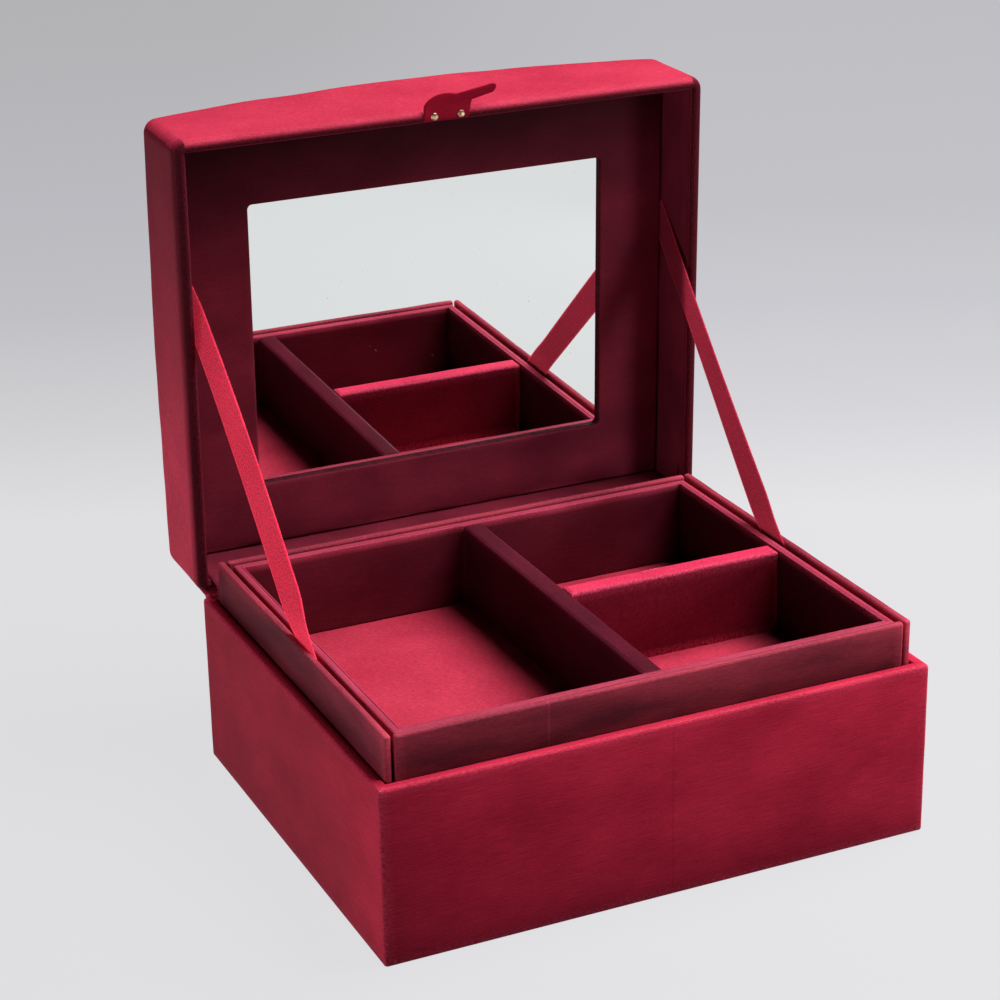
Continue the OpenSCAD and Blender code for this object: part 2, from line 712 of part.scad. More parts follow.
base_floor_board();
base_front_board();
base_back_board();
base_left_board();
base_right_board();
base_cover();
base_bottom_sheet();
base_floor_pad();
collar_front_board();
collar_back_board();
collar_left_board();
collar_right_board();
collar_front_cloth();
collar_back_cloth();
collar_left_cloth();
collar_right_cloth();
tray_ledge_left();
tray_ledge_right();
hinge_cloth();
hinge_lining();
ribbon_left();
ribbon_right();
tray_floor_board();
tray_bottom_sheet();
tray_front_board();
tray_back_board();
tray_left_board();
tray_right_board();
tray_cloth();
long_divider_core();
long_divider_cloth();
short_divider_core();
short_divider_cloth();
tray_pad_left();
tray_pad_rear();
tray_pad_front();
lid_front_board();
lid_back_board();
lid_left_board();
lid_right_board();
lid_top_board();
lid_padding();
lid_cover();
lid_lining();
mirror_rest_left();
mirror_rest_right();
mirror_frame_board();
mirror_frame_cloth();
mirror_glass();
mirror_backing();
pull_tab_plate();
pull_tab_rivets();
pull_tab_bend();
pull_tab_tongue();
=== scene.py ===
# Cloth-covered jewellery box with a lift-out tray and a mirror in its lid.
# Lengths are millimetres in the object's own frame, turned to metres with each mesh. A tone is a
# share of the cloth's colour that mostly holds painted light and shade: 1 leaves it as it is, and
# less makes it darker, more paler.
import json
import math

import bmesh
import bpy
import numpy as np
from mathutils import Matrix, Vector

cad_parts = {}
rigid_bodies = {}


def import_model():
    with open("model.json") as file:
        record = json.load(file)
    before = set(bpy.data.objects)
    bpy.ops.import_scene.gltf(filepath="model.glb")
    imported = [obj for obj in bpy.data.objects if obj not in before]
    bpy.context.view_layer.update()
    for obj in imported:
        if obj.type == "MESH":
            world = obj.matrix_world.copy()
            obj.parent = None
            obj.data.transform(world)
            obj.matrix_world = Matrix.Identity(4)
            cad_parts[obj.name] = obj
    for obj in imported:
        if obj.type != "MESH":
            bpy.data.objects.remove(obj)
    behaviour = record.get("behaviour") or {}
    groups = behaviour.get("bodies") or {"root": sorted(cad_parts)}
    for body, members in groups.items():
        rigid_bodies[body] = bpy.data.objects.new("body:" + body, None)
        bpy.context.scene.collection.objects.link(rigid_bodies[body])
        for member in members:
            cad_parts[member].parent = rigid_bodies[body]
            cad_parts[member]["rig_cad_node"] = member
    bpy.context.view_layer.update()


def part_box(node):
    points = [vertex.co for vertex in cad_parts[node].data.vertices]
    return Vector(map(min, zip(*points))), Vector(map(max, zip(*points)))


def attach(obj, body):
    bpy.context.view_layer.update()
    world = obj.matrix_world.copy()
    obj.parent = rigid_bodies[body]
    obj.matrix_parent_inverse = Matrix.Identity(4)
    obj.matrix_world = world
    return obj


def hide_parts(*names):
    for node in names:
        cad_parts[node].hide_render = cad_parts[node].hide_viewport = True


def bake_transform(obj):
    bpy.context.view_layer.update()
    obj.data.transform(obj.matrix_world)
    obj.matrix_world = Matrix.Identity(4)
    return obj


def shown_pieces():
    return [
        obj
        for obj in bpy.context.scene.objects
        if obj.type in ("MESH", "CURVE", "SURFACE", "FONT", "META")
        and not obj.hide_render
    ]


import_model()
millimetre = 0.001
print("frame loaded")

# Line that the lid turns about, and how far the ribbons let it open, in degrees
hinge = {"y": 74.5, "z": 57.1, "open": 88.5}


# Closed-lid points turned about the hinge to the angle where the ribbons stop the lid
def opened(points):
    turn = math.radians(hinge["open"])
    y = points[..., 1] - hinge["y"]
    z = points[..., 2] - hinge["z"]
    return np.stack([
        points[..., 0],
        hinge["y"] + y * math.cos(turn) + z * math.sin(turn),
        hinge["z"] - y * math.sin(turn) + z * math.cos(turn),
    ], -1)


# Box of a CAD node in millimetres: its lowest and its highest corner
def nodeBox(node):
    low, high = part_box(node)
    return np.array(low) / millimetre, np.array(high) / millimetre


# Length in metres of a cloth that goes once round a box
def girth(low, high):
    return 2 * (high[0] - low[0] + high[1] - low[1]) * millimetre


# Smooth step of a share from 0 to 1: s^2 * (3 - 2 s)
def smooth(share):
    return share * share * (3 - 2 * share)


# Tone that is 1 where the share is 0 and the given value where it is 1: 1 + (value - 1) * share
def toward(value, share):
    return 1 + (value - 1) * share


# Arc in a profile plane: centre + radius * (cos, sin) of the angles
def arc(centre, radius, start, end, count):
    angle = np.radians(np.linspace(start, end, count + 1))
    return np.stack([centre[0] + radius * np.cos(angle), centre[1] + radius * np.sin(angle)], -1)


# Straight run in a profile plane, in equal steps
def line(start, end, count):
    share = np.linspace(0, 1, count + 1)[:, None]
    return np.array(start, float) * (1 - share) + np.array(end, float) * share


# One path from several, leaving out a point that repeats the one before it
def path(*runs):
    points = np.vstack(runs)
    step = np.linalg.norm(np.diff(points, axis=0), axis=1)
    return points[np.concatenate([[True], step > 1e-6])]


# Columns round a rectangle: along a side the place runs from -1 to 1, and in a corner the
# direction turns; a point is centre + place * (half - radius) + direction * radius
def ringColumns(alongX, alongY, corner):
    half = corner // 2
    side = {}
    for name, count in (("x", alongX), ("y", alongY)):
        turn = np.concatenate([
            np.linspace(-45, 0, half + 1), np.zeros(count - 1), np.linspace(0, 45, half + 1)])
        place = np.concatenate([
            -np.ones(half + 1), np.linspace(-1, 1, count + 1)[1:-1], np.ones(half + 1)])
        side[name] = (turn[:-1], place[:-1])
    turns, placesX, placesY = [], [], []
    for quarter, name in enumerate("xyxy"):
        turn, place = side[name]
        turns.append(turn - 90 + 90 * quarter)
        sign = 1 if quarter < 2 else -1
        placesX.append(sign * place if name == "x" else np.full(len(place), float(sign)))
        placesY.append(np.full(len(place), float(-sign)) if name == "x" else sign * place)
    angle = np.radians(np.concatenate(turns))
    return {
        "place": np.stack([np.concatenate(placesX), np.concatenate(placesY)], -1),
        "turn": np.stack([np.cos(angle), np.sin(angle)], -1),
        "counts": (len(side["x"][0]), len(side["y"][0])),
    }


# Rings of points at given centres, half sizes, corner radii and heights
def ringRows(columns, centre, half, radius, height):
    rows = len(height)
    radius = radius[:, None, None]
    reach = half[:, None, :] - radius
    flat = np.broadcast_to(centre, (rows, 2))[:, None, :] \
        + columns["place"] * reach + columns["turn"] * radius
    level = np.broadcast_to(height[:, None, None], flat.shape[:2] + (1,))
    return np.concatenate([flat, level], -1)


# Rings whose rectangle is drawn in by each row's inset, with the corner radius drawn in too
def insetRows(columns, low, high, profile, corner, least=0.15):
    centre, half = (low[:2] + high[:2]) / 2, (high[:2] - low[:2]) / 2
    inset = profile[:, 0]
    radius = np.maximum(corner - np.maximum(inset, 0), least)
    return ringRows(columns, centre, half - inset[:, None], radius, profile[:, 1])


# Quads between rings, with UVs in metres: round the ring and along the profile
def sweep(rows, closed=False):
    count, around = rows.shape[:2]
    index = np.arange(count * around).reshape(count, around)
    lower = index if closed else index[:-1]
    upper = np.roll(index, -1, 0) if closed else index[1:]
    quads = np.stack([lower, np.roll(lower, -1, 1), np.roll(upper, -1, 1), upper], -1)
    steps = np.linalg.norm(np.roll(rows, -1, 1) - rows, axis=-1).max(0)
    u = np.concatenate([[0], np.cumsum(steps)]) * millimetre
    rise = np.linalg.norm(np.roll(rows, -1, 0) - rows, axis=-1).mean(1)
    v = np.concatenate([[0], np.cumsum(rise)]) * millimetre
    uvs = np.stack(np.meshgrid(u, v), -1)
    last = len(quads)
    corners = np.stack([
        uvs[:last, :-1], uvs[:last, 1:], uvs[1:last + 1, 1:], uvs[1:last + 1, :-1]], 2)
    return {"points": rows.reshape(-1, 3), "quads": quads.reshape(-1, 4),
            "uvs": corners.reshape(-1, 4, 2)}


# Grid that closes the first or last ring: each point blends the four sides linearly, less the
# corners' share, and the swell then gives its height
def addCap(part, columns, row, rowCount, upward, swell=None):
    alongX, alongY = columns["counts"]
    total = 2 * (alongX + alongY)
    start = row * total if row >= 0 else (rowCount + row) * total
    ring = part["points"][start:start + total]
    order = np.arange(total)
    grid = np.zeros((alongY + 1, alongX + 1), int)
    grid[0, :] = order[:alongX + 1]
    grid[:, alongX] = order[alongX:alongX + alongY + 1]
    grid[alongY, ::-1] = order[alongX + alongY:2 * alongX + alongY + 1]
    grid[::-1, 0] = np.append(order[2 * alongX + alongY:], 0)
    front, back = ring[grid[0]], ring[grid[-1]]
    left, right = ring[grid[:, 0]], ring[grid[:, -1]]
    u = (front[:, 0] - front[0, 0]) / (front[-1, 0] - front[0, 0])
    v = (left[:, 1] - left[0, 1]) / (left[-1, 1] - left[0, 1])
    u, v = u[None, :, None], v[:, None, None]
    inside = (1 - v) * front + v * back + (1 - u) * left[:, None] + u * right[:, None] \
        - (1 - u) * (1 - v) * front[0] - u * (1 - v) * front[-1] \
        - (1 - u) * v * back[0] - u * v * back[-1]
    inner = inside[1:-1, 1:-1].reshape(-1, 3)
    if swell is not None:
        inner[:, 2] = swell(inner)
    grid[1:-1, 1:-1] = np.arange(len(inner)).reshape(alongY - 1, alongX - 1) + total
    known = np.concatenate([order + start, np.arange(len(inner)) + len(part["points"])])
    grid = known[grid]
    quads = np.stack([grid[:-1, :-1], grid[:-1, 1:], grid[1:, 1:], grid[1:, :-1]], -1)
    quads = quads.reshape(-1, 4)
    quads = quads if upward else quads[:, ::-1]
    points = np.vstack([part["points"], inner])
    return {"points": points, "quads": np.vstack([part["quads"], quads]),
            "uvs": np.concatenate([part["uvs"], points[quads][..., :2] * millimetre])}


# Unit normals of a part's points, from the crossed diagonals of the quads around each
def normals(part):
    points, quads = part["points"], part["quads"]
    cross = np.cross(points[quads[:, 2]] - points[quads[:, 0]],
                     points[quads[:, 3]] - points[quads[:, 1]])
    total = np.zeros_like(points)
    for corner in range(4):
        np.add.at(total, quads[:, corner], cross)
    return total / np.maximum(np.linalg.norm(total, axis=1), 1e-12)[:, None]


# How sharply the surface bends outwards at each point: the normals' spread along the edges
def bending(part):
    points, quads, facing = part["points"], part["quads"], normals(part)
    total, count = np.zeros(len(points)), np.zeros(len(points))
    for corner in range(4):
        a, b = quads[:, corner], quads[:, (corner + 1) % 4]
        run = points[b] - points[a]
        bend = ((facing[b] - facing[a]) * run).sum(1) / np.maximum((run * run).sum(1), 1e-6)
        for end in (a, b):
            np.add.at(total, end, bend)
            np.add.at(count, end, 1)
    return total / np.maximum(count, 1)


# Soft unevenness: a sum of plane waves sin(k . p + phase) of random directions and lengths
def ripple(points, seed, shortest, longest, waves=14):
    random = np.random.default_rng(seed)
    direction = random.normal(size=(waves, 3))
    direction /= np.linalg.norm(direction, axis=1)[:, None]
    length = shortest * (longest / shortest) ** random.random(waves)
    phase = random.random(waves) * 2 * math.pi
    wave = np.sin(points @ (direction * (2 * math.pi / length)[:, None]).T + phase)
    return wave.sum(1) * math.sqrt(2 / waves) / 1.5


# Moves a part's points along their normals
def lifted(part, lift):
    return part["points"] + normals(part) * lift[:, None]


# Object of some data, linked to the scene
def addObject(name, data):
    item = bpy.data.objects.new(name, data)
    bpy.context.scene.collection.objects.link(item)
    return item


# Mesh object from a part, with its UVs, its tone of painted light and shade, and its wear and
# painted highlight: outward bend times a radius
def makePiece(name, part, material, wearAndHighlightRadius=1.4):
    points, quads = part["points"], part["quads"]
    mesh = bpy.data.meshes.new(name)
    mesh.from_pydata((points * millimetre).tolist(), [], quads.tolist())
    mesh.uv_layers.new(name="UVMap").data.foreach_set("uv", part["uvs"].ravel())
    painted = {"wear": np.clip(bending(part) * wearAndHighlightRadius, 0, 1),
               "tone": part.get("tone", np.ones(len(points)))}
    for attribute, values in painted.items():
        mesh.attributes.new(attribute, "FLOAT", "POINT").data.foreach_set("value", values)
    mesh.polygons.foreach_set("use_smooth", np.ones(len(quads), bool))
    mesh.materials.append(material)
    if part.get("weld"):
        build = bmesh.new()
        build.from_mesh(mesh)
        bmesh.ops.remove_doubles(build, verts=build.verts, dist=2e-6)
        build.to_mesh(mesh)
        build.free()
    mesh.validate()
    mesh.update()
    return addObject(name, mesh)


# Rides a piece on its body and hides the CAD nodes it stands for; the slot is not used
def finishPiece(piece, body, nodes, slot):
    if body:
        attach(piece, body)
    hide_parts(*nodes)


# camelCase name of a piece from the CAD node's name
def pieceName(node):
    words = node.split("_")
    return words[0] + "".join(word.capitalize() for word in words[1:])


# Colour of a hex code as linear light: ((c + 0.055) / 1.055) ^ 2.4 above the small straight part
def linear(code):
    channels = np.array([int(code[i:i + 2], 16) for i in (1, 3, 5)]) / 255
    light = np.where(channels <= 0.04045, channels / 12.92, ((channels + 0.055) / 1.055) ** 2.4)
    return (*light.tolist(), 1.0)


# One shader node with its settings: an input is a value, another node's output or a node, which
# stands for its first output; a ramp is a list of places and colours
def addNode(tree, kind, inputs=None, ramp=None, **settings):
    node = tree.nodes.new("ShaderNode" + kind)
    for name, value in settings.items():
        setattr(node, name, value)
    for name, value in (inputs or {}).items():
        if isinstance(value, bpy.types.Node):
            value = value.outputs[0]
        if isinstance(value, bpy.types.NodeSocket):
            tree.links.new(value, node.inputs[name])
        else:
            node.inputs[name].default_value = value
    if ramp:
        elements = node.color_ramp.elements
        while len(elements) < len(ramp):
            elements.new(0.5)
        for element, (place, colour) in zip(elements, ramp):
            element.position = place
            element.color = linear(colour) if isinstance(colour, str) else (colour,) * 3 + (1,)
    return node


# Material whose surface is the shader that a function builds in its tree from a look
def newMaterial(name, build, look):
    material = bpy.data.materials.new(name)
    material.use_nodes = True
    tree = material.node_tree
    tree.nodes.clear()
    addNode(tree, "OutputMaterial", {0: build(tree, look)})
    return material


# Mix of two colours by a factor; the Mix node keeps its colour sockets at 6 and 7, its result at 2
def mixColour(tree, factor, first, second, mode="MIX"):
    return addNode(tree, "Mix", {0: factor, 6: first, 7: second},
                   data_type="RGBA", blend_type=mode).outputs[2]


# Noise on the cloth's UVs: one cell is size[0] by size[1] millimetres
def clothNoise(tree, uv, size, turn, detail, rough, shift):
    mapping = addNode(tree, "Mapping", {
        "Vector": uv, "Rotation": (0, 0, math.radians(turn)), "Location": (shift, shift, 0),
        "Scale": (size[0] * millimetre, size[1] * millimetre, 1)}, vector_type="TEXTURE")
    return addNode(tree, "TexNoise", {
        "Vector": mapping, "Scale": 1.0, "Detail": detail, "Roughness": rough})


# Noise on object coordinates: one cell is that many millimetres across
def grainNoise(tree, size, detail):
    place = addNode(tree, "TexCoord").outputs["Object"]
    return addNode(tree, "TexNoise", {
        "Vector": place, "Scale": 1 / (size * millimetre), "Detail": detail})


# Colour and bump of a satin: long slubs give the fine streaks, small cells the grain of single
# threads, wide mottling the handled patches; the tone attribute lays painted light and shade on it,
# a seam is a line across it, and edges turn paler in broken specks, as wear and as a painted
# highlight
def satinColour(tree, look):
    uv = addNode(tree, "UVMap", uv_map="UVMap")
    slub = clothNoise(tree, uv, look["slub"], look["turn"], 3.0, 0.65, 0.0)
    thread = clothNoise(tree, uv, look["thread"], look["turn"], 2.0, 0.7, 0.013)
    mottle = clothNoise(tree, uv, look["mottle"], 0, 3.0, 0.5, 0.21)
    colour = addNode(tree, "ValToRGB", {"Fac": mottle}, [(0.3, look["dark"]), (0.66, look["main"])])
    tones = [addNode(tree, "MapRange", {
        "Value": noise, "From Min": 0.3, "From Max": 0.7, "To Min": 1 - look[name],
        "To Max": 1 + look[name]}) for noise, name in ((slub, "streak"), (thread, "grain"))]
    tones.append(addNode(tree, "Attribute", attribute_name="tone"))
    if "seam" in look:
        place, change = look["seam"]
        u = addNode(tree, "SeparateXYZ", {0: uv})
        near = addNode(tree, "Math", {0: u, 1: place, 2: look["seamHalf"]}, operation="COMPARE")
        tones.append(addNode(tree, "Math", {0: near, 1: change, 2: 1.0},
                             operation="MULTIPLY_ADD"))
    for tone in tones:
        colour = mixColour(tree, 1.0, colour, tone, "MULTIPLY")
    speck = addNode(tree, "MapRange", {
        "Value": thread, "From Min": 0.42, "From Max": 0.62, "To Min": 0.1 * look["wear"],
        "To Max": look["wear"]})
    worn = addNode(tree, "Attribute", attribute_name="wear").outputs["Fac"]
    share = addNode(tree, "Math", {0: worn, 1: speck}, operation="MULTIPLY")
    colour = mixColour(tree, share, colour, linear(look["worn"]))
    height = addNode(tree, "Math", {0: thread, 1: 0.6, 2: slub}, operation="MULTIPLY_ADD")
    bump = addNode(tree, "Bump", {
        "Strength": look["bump"], "Distance": look["relief"] * millimetre, "Height": height})
    return colour, bump


# Satin, woven of fine glossy threads: a dull sheen over streaked crimson
def satin(tree, look):
    colour, bump = satinColour(tree, look)
    return addNode(tree, "BsdfPrincipled", {
        "Base Color": colour, "Roughness": look["rough"], "Specular IOR Level": look["specular"],
        "Sheen Weight": look["sheen"], "Sheen Roughness": look["sheenRough"],
        "Sheen Tint": linear(look["sheenTint"]), "Normal": bump})


# Ribbon, a thin ribbed satin: bright, and glowing with the light from behind it
def ribbonCloth(tree, look):
    colour, bump = satinColour(tree, look)
    shader = addNode(tree, "BsdfPrincipled", {
        "Base Color": colour, "Roughness": look["rough"], "Specular IOR Level": look["specular"],
        "Normal": bump})
    # The tone, painted light and shade, also scales the light let through
    tone = addNode(tree, "Attribute", attribute_name="tone")
    glow = mixColour(tree, 0.5, linear(look["glow"]), colour)
    through = addNode(tree, "BsdfTranslucent", {
        "Color": mixColour(tree, 1.0, glow, tone, "MULTIPLY"), "Normal": bump})
    return addNode(tree, "MixShader", {0: look["through"], 1: shader, 2: through})


# Bookbinder's board, pressed from pulp: matt grey-brown with pale and dark fibres
def board(tree, look):
    fibre = grainNoise(tree, look["fibre"], 4.0)
    colour = addNode(tree, "ValToRGB", {"Fac": fibre}, [(0.35, look["dark"]), (0.65, look["pale"])])
    bump = addNode(tree, "Bump", {
        "Strength": look["bump"], "Distance": look["relief"] * millimetre, "Height": fibre})
    return addNode(tree, "BsdfPrincipled", {
        "Base Color": colour, "Roughness": look["rough"], "Normal": bump})


# Silvered glass: a clear reflection, with a few specks of dust and a faint haze that soften it
def mirror(tree, look):
    speck = grainNoise(tree, look["speck"], 2.0)
    dust = addNode(tree, "ValToRGB", {"Fac": speck}, look["cover"])
    haze = addNode(tree, "Math", {0: grainNoise(tree, look["haze"], 4.0), 1: look["rough"]},
                   operation="MULTIPLY")
    silver = addNode(tree, "BsdfPrincipled", {
        "Base Color": linear(look["silver"]), "Metallic": 1.0, "Roughness": haze})
    grey = addNode(tree, "BsdfPrincipled", {
        "Base Color": linear(look["dust"]), "Roughness": look["dustRough"]})
    return addNode(tree, "MixShader", {0: dust, 1: silver, 2: grey})


# Brass, stamped and handled: a soft warm shine with cloudy tarnish
def brassHead(tree, look):
    cloud = grainNoise(tree, look["cloud"], 3.0)
    colour = addNode(tree, "ValToRGB", {"Fac": cloud}, [(0.35, look["dark"]), (0.6, look["pale"])])
    rough = addNode(tree, "Math", {0: cloud, 1: look["dull"], 2: look["rough"]},
                    operation="MULTIPLY_ADD")
    return addNode(tree, "BsdfPrincipled", {
        "Base Color": colour, "Metallic": 1.0, "Roughness": rough})


# Satin looks, in millimetres: slub, thread and mottle are the length and width of one cell. Real
# threads lie about 0.1 apart, so those two are drawn four to six times as coarse, to show. A seam
# is a place along the cloth in metres and the change of tone there
satinLook = {
    "main": "#cf2b49", "dark": "#b4203c", "worn": "#e0506c", "wear": 0.45, "streak": 0.2,
    "grain": 0.11, "slub": (8.0, 0.38), "thread": (1.2, 0.4), "mottle": (30, 22), "turn": 0,
    "bump": 0.3, "relief": 0.2, "rough": 0.55, "specular": 0.04, "sheen": 0.08,
    "sheenRough": 0.4, "sheenTint": "#ff5573", "seamHalf": 0.0003,
}
looks = {
    # Even crimson with long slubs, a seam and pale handled edges, partly a painted highlight
    "crimsonSatin": {"seam": (0.0921, -0.12), "worn": "#ec5a75", "wear": 0.7},
    # Softer and paler over the wadding, with short slubs
    "lidSatin": {"main": "#c5364f", "dark": "#b42c45", "wear": 0.12, "slub": (4.0, 0.38),
                 "grain": 0.22},
    # Smooth and dusty on the tray's rim
    "traySatin": {"main": "#c04560", "dark": "#a8364f", "streak": 0.13},
    # Deep red, rubbed pale round its edge by fingers, with a painted highlight there too
    "tabSatin": {"main": "#ac1532", "dark": "#920f2a", "worn": "#e0486a", "wear": 0.7},
    # Brownish and blotched where hands lift the tray, with one pale seam
    "collarSatin": {"main": "#93303f", "dark": "#5e1f2b", "worn": "#c04860", "wear": 0.7,
                    "mottle": (42, 10), "slub": (4.0, 0.38), "seam": (0.0471, 0.4)},
    # Quiet wine red that lies in shade
    "liningSatin": {"main": "#8a2c3f", "dark": "#6c2031", "wear": 0.1, "streak": 0.1},
    # Fuzzy and grainy over thin wadding
    "floorSatin": {"main": "#c2384f", "dark": "#b02d43", "slub": (2.2, 0.6), "grain": 0.22,
                   "wear": 0.1},
    # Nearly black red, cut on the slant
    "darkSatin": {"main": "#60182a", "dark": "#481320", "slub": (3.0, 0.38), "turn": 40,
                  "wear": 0.25, "worn": "#a02c44", "streak": 0.3},
    # Bright, with slanting ribs that show along its top, and pale edges that are partly a painted
    # highlight
    "twillSatin": {"main": "#b82c4a", "dark": "#a62541", "slub": (3.0, 0.35), "turn": 40,
                   "wear": 0.9, "worn": "#f0567a", "streak": 0.3, "grain": 0.25, "bump": 0.15},
}
ribbonLook = {
    **satinLook, "main": "#f4587a", "dark": "#e84c6e", "worn": "#f0708c", "slub": (0.9, 0.4),
    "thread": (0.7, 0.4), "turn": 35, "streak": 0.4, "grain": 0.8, "through": 0.7,
    "glow": "#fba0b4",
}
# Noise cells are in millimetres; the dust covers the shares that its ramp gives
boardLook = {"dark": "#8c8377", "pale": "#b7ae9f", "fibre": 1.11, "bump": 0.3, "relief": 0.1,
             "rough": 0.9}
mirrorLook = {"silver": "#f4f8f5", "dust": "#b9b6b4", "speck": 1.61, "haze": 35.7,
              "cover": [(0.74, 0.0), (0.8, 0.3)], "dustRough": 0.9, "rough": 0.02}
brassLook = {"dark": "#8a6a50", "pale": "#e6c8a8", "cloud": 1.43, "dull": 0.3,
             "rough": 0.28}
cloth = {name: newMaterial(name, satin, {**satinLook, **looks[name]}) for name in looks}
ribbonSatin = newMaterial("ribbonSatin", ribbonCloth, ribbonLook)
greyBoard = newMaterial("greyBoard", board, boardLook)
silveredGlass = newMaterial("silveredGlass", mirror, mirrorLook)
wornBrass = newMaterial("wornBrass", brassHead, brassLook)
print("materials made")

base = {
    "rimOuter": 1.2, "rimInner": 0.8, "bottomEdge": 0.7, "corner": 1.2, "wall": 3.6, "card": 0.4,
    "turnDown": 14.0, "hem": 12.0, "dome": 0.12, "ripple": 0.07, "slit": 0.02, "cut": 0.087,
    "footTone": 0.85, "frontFoot": 0.52, "footHigh": 12.0, "frontEnd": 0.66, "endWide": 14.0,
    "leftEnd": 1.45, "leftWide": 24.0, "faceDeep": 0.8,
}


# Base cover: hem, bottom edge, wall, rounded rim and the turn down inside, then back behind it.
# Its tone is painted shade and light: it falls evenly to the foot, on the front also by exp(-z /
# high) and by exp(-x / wide) from the left end, and on the left it rises by exp(-(y / wide)^2)
# towards the front
def makeBaseCover():
    low, high = nodeBox("base_cover")
    top, shape = high[2], base
    outer, inner, foot = shape["rimOuter"], shape["rimInner"], shape["bottomEdge"]
    wall, skin = shape["wall"], shape["card"] - shape["slit"]
    crown = line((outer, top), (wall - inner, top), 4)
    crown[:, 1] += shape["dome"] * np.sin(np.linspace(0, math.pi, len(crown)))
    profile = path(
        line((shape["hem"], 0), (foot, 0), 4),
        arc((foot, foot), foot, 270, 180, 4),
        line((0, foot), (0, top - outer), 24),
        arc((outer, top - outer), outer, 180, 90, 6),
        crown,
        arc((wall - inner, top - inner), inner, 90, 0, 5),
        line((wall, top - inner), (wall, top - shape["turnDown"]), 4),
        line((wall - skin, top - shape["turnDown"]), (wall - skin, top - skin), 2),
        line((skin, top - skin), (skin, skin), 2),
        [(shape["hem"], skin)])
    rows = insetRows(ringColumns(70, 58, 12), low, high, profile, shape["corner"])
    part = sweep(rows, closed=True)
    points = part["points"]
    outside = np.repeat(profile[:, 0] < 0.01, rows.shape[1])
    bulge = shape["ripple"] * (1 + ripple(points, 3, 14, 80)) / 2
    part["points"] = lifted(part, np.where(outside, bulge, 0))
    fromLeft, fromFront = points[:, 0] - low[0], points[:, 1] - low[1]
    onFront, onLeft = (np.exp(-np.abs(away) / shape["faceDeep"]) for away in (fromFront, fromLeft))
    dim = toward(shape["frontFoot"], np.exp(-points[:, 2] / shape["footHigh"])) \
        * toward(shape["frontEnd"], np.exp(-fromLeft / shape["endWide"]))
    lit = toward(shape["leftEnd"], np.exp(-(fromFront / shape["leftWide"]) ** 2))
    part["tone"] = toward(shape["footTone"], 1 - points[:, 2] / top) \
        * toward(dim, onFront) * toward(lit, onLeft)
    piece = makePiece("baseCover", part, cloth["crimsonSatin"])
    finishPiece(piece, "base", ["base_cover"], "satin")
    girth(low, high)


makeBaseCover()

# Wrapped boards: edge radii, ripple, crown of the top, and tones of painted light and shade with
# the depth they fade over
collar = {
    "corner": 1.0, "top": 1.0, "bottom": 0.3, "ripple": 0.05, "crown": 0.0,
    "topTone": 1.45, "sideTone": 0.66, "fade": 7.0, "endTone": 0.9, "endDeep": 0.8,
}
sideCollar = {**collar, "sideTone": 0.5, "topTone": 1.3, "nearTone": 1.6, "nearWide": 26.0}
longDivider = {
    "corner": 0.5, "top": 1.2, "bottom": 0.2, "ripple": 0.05, "crown": 0.12,
    "topTone": 0.85, "sideTone": 0.36, "fade": 0.8,
}
shortDivider = {**longDivider, "topTone": 1.5, "sideTone": 0.42, "fade": 0.5}
thinSheet = {"corner": 0.4, "top": 0.15, "bottom": 0.15, "ripple": 0.02, "crown": 0.0}
ledge = {"corner": 0.5, "top": 0.5, "bottom": 0.3, "ripple": 0.03, "crown": 0.0}


# Wrapped board or pad in a box: sides straight up, r * (1 - cos) and r * (1 - sin) at the edges.
# Its tone is painted light and shade: it falls by exp(-depth / fade) below the lit top, and rises
# at the ends and, by exp(-(y / wide)^2), towards the front; a pad's falls by a smooth step to the
# wall on its right, a painted cast shadow
def softBlock(low, high, shape, counts, seed, swell):
    columns = ringColumns(*counts)
    top, bottom = shape["top"], shape["bottom"]
    steps = max(2, int((high[2] - low[2]) / 3))
    profile = path(
        arc((bottom, low[2] + bottom), bottom, 270, 180, 3),
        line((0, low[2] + bottom), (0, high[2] - top), steps),
        arc((top, high[2] - top), top, 180, 90, 6))
    part = sweep(insetRows(columns, low, high, profile, shape["corner"], 0.1))
    part = addCap(part, columns, 0, len(profile), False)
    part = addCap(part, columns, -1, len(profile), True, swell)
    points = part["points"]
    part["points"] = lifted(part, shape["ripple"] * ripple(points, seed, 12, 60))
    if "fade" in shape:
        above = np.exp(-np.clip(high[2] - points[:, 2], 0, None) / shape["fade"])
        part["tone"] = shape["sideTone"] + (shape["topTone"] - shape["sideTone"]) * above
    if "endTone" in shape:
        long = int(high[1] - low[1] > high[0] - low[0])
        end = np.minimum(points[:, long] - low[long], high[long] - points[:, long])
        part["tone"] += shape["endTone"] * np.exp(-np.clip(end, 0, None) / shape["endDeep"])
    if "nearTone" in shape:
        near = np.exp(-((points[:, 1] - low[1]) / shape["nearWide"]) ** 2)
        part["tone"] *= toward(shape["nearTone"], near)
    if "castTone" in shape:
        away = np.clip((high[0] - points[:, 0]) / shape["castWide"], 0, 1)
        part["tone"] = toward(shape["castTone"], 1 - smooth(away))
    return part


# Skin of cloth: the part and a second layer that lies the cloth's thickness inside it
def shell(part, thick):
    inside = lifted(part, np.full(len(part["points"]), -thick))
    tone = part.get("tone", np.ones(len(inside)))
    return {"points": np.vstack([part["points"], inside]), "tone": np.tile(tone, 2),
            "quads": np.vstack([part["quads"], part["quads"][:, ::-1] + len(inside)]),
            "uvs": np.concatenate([part["uvs"], part["uvs"][:, ::-1]])}


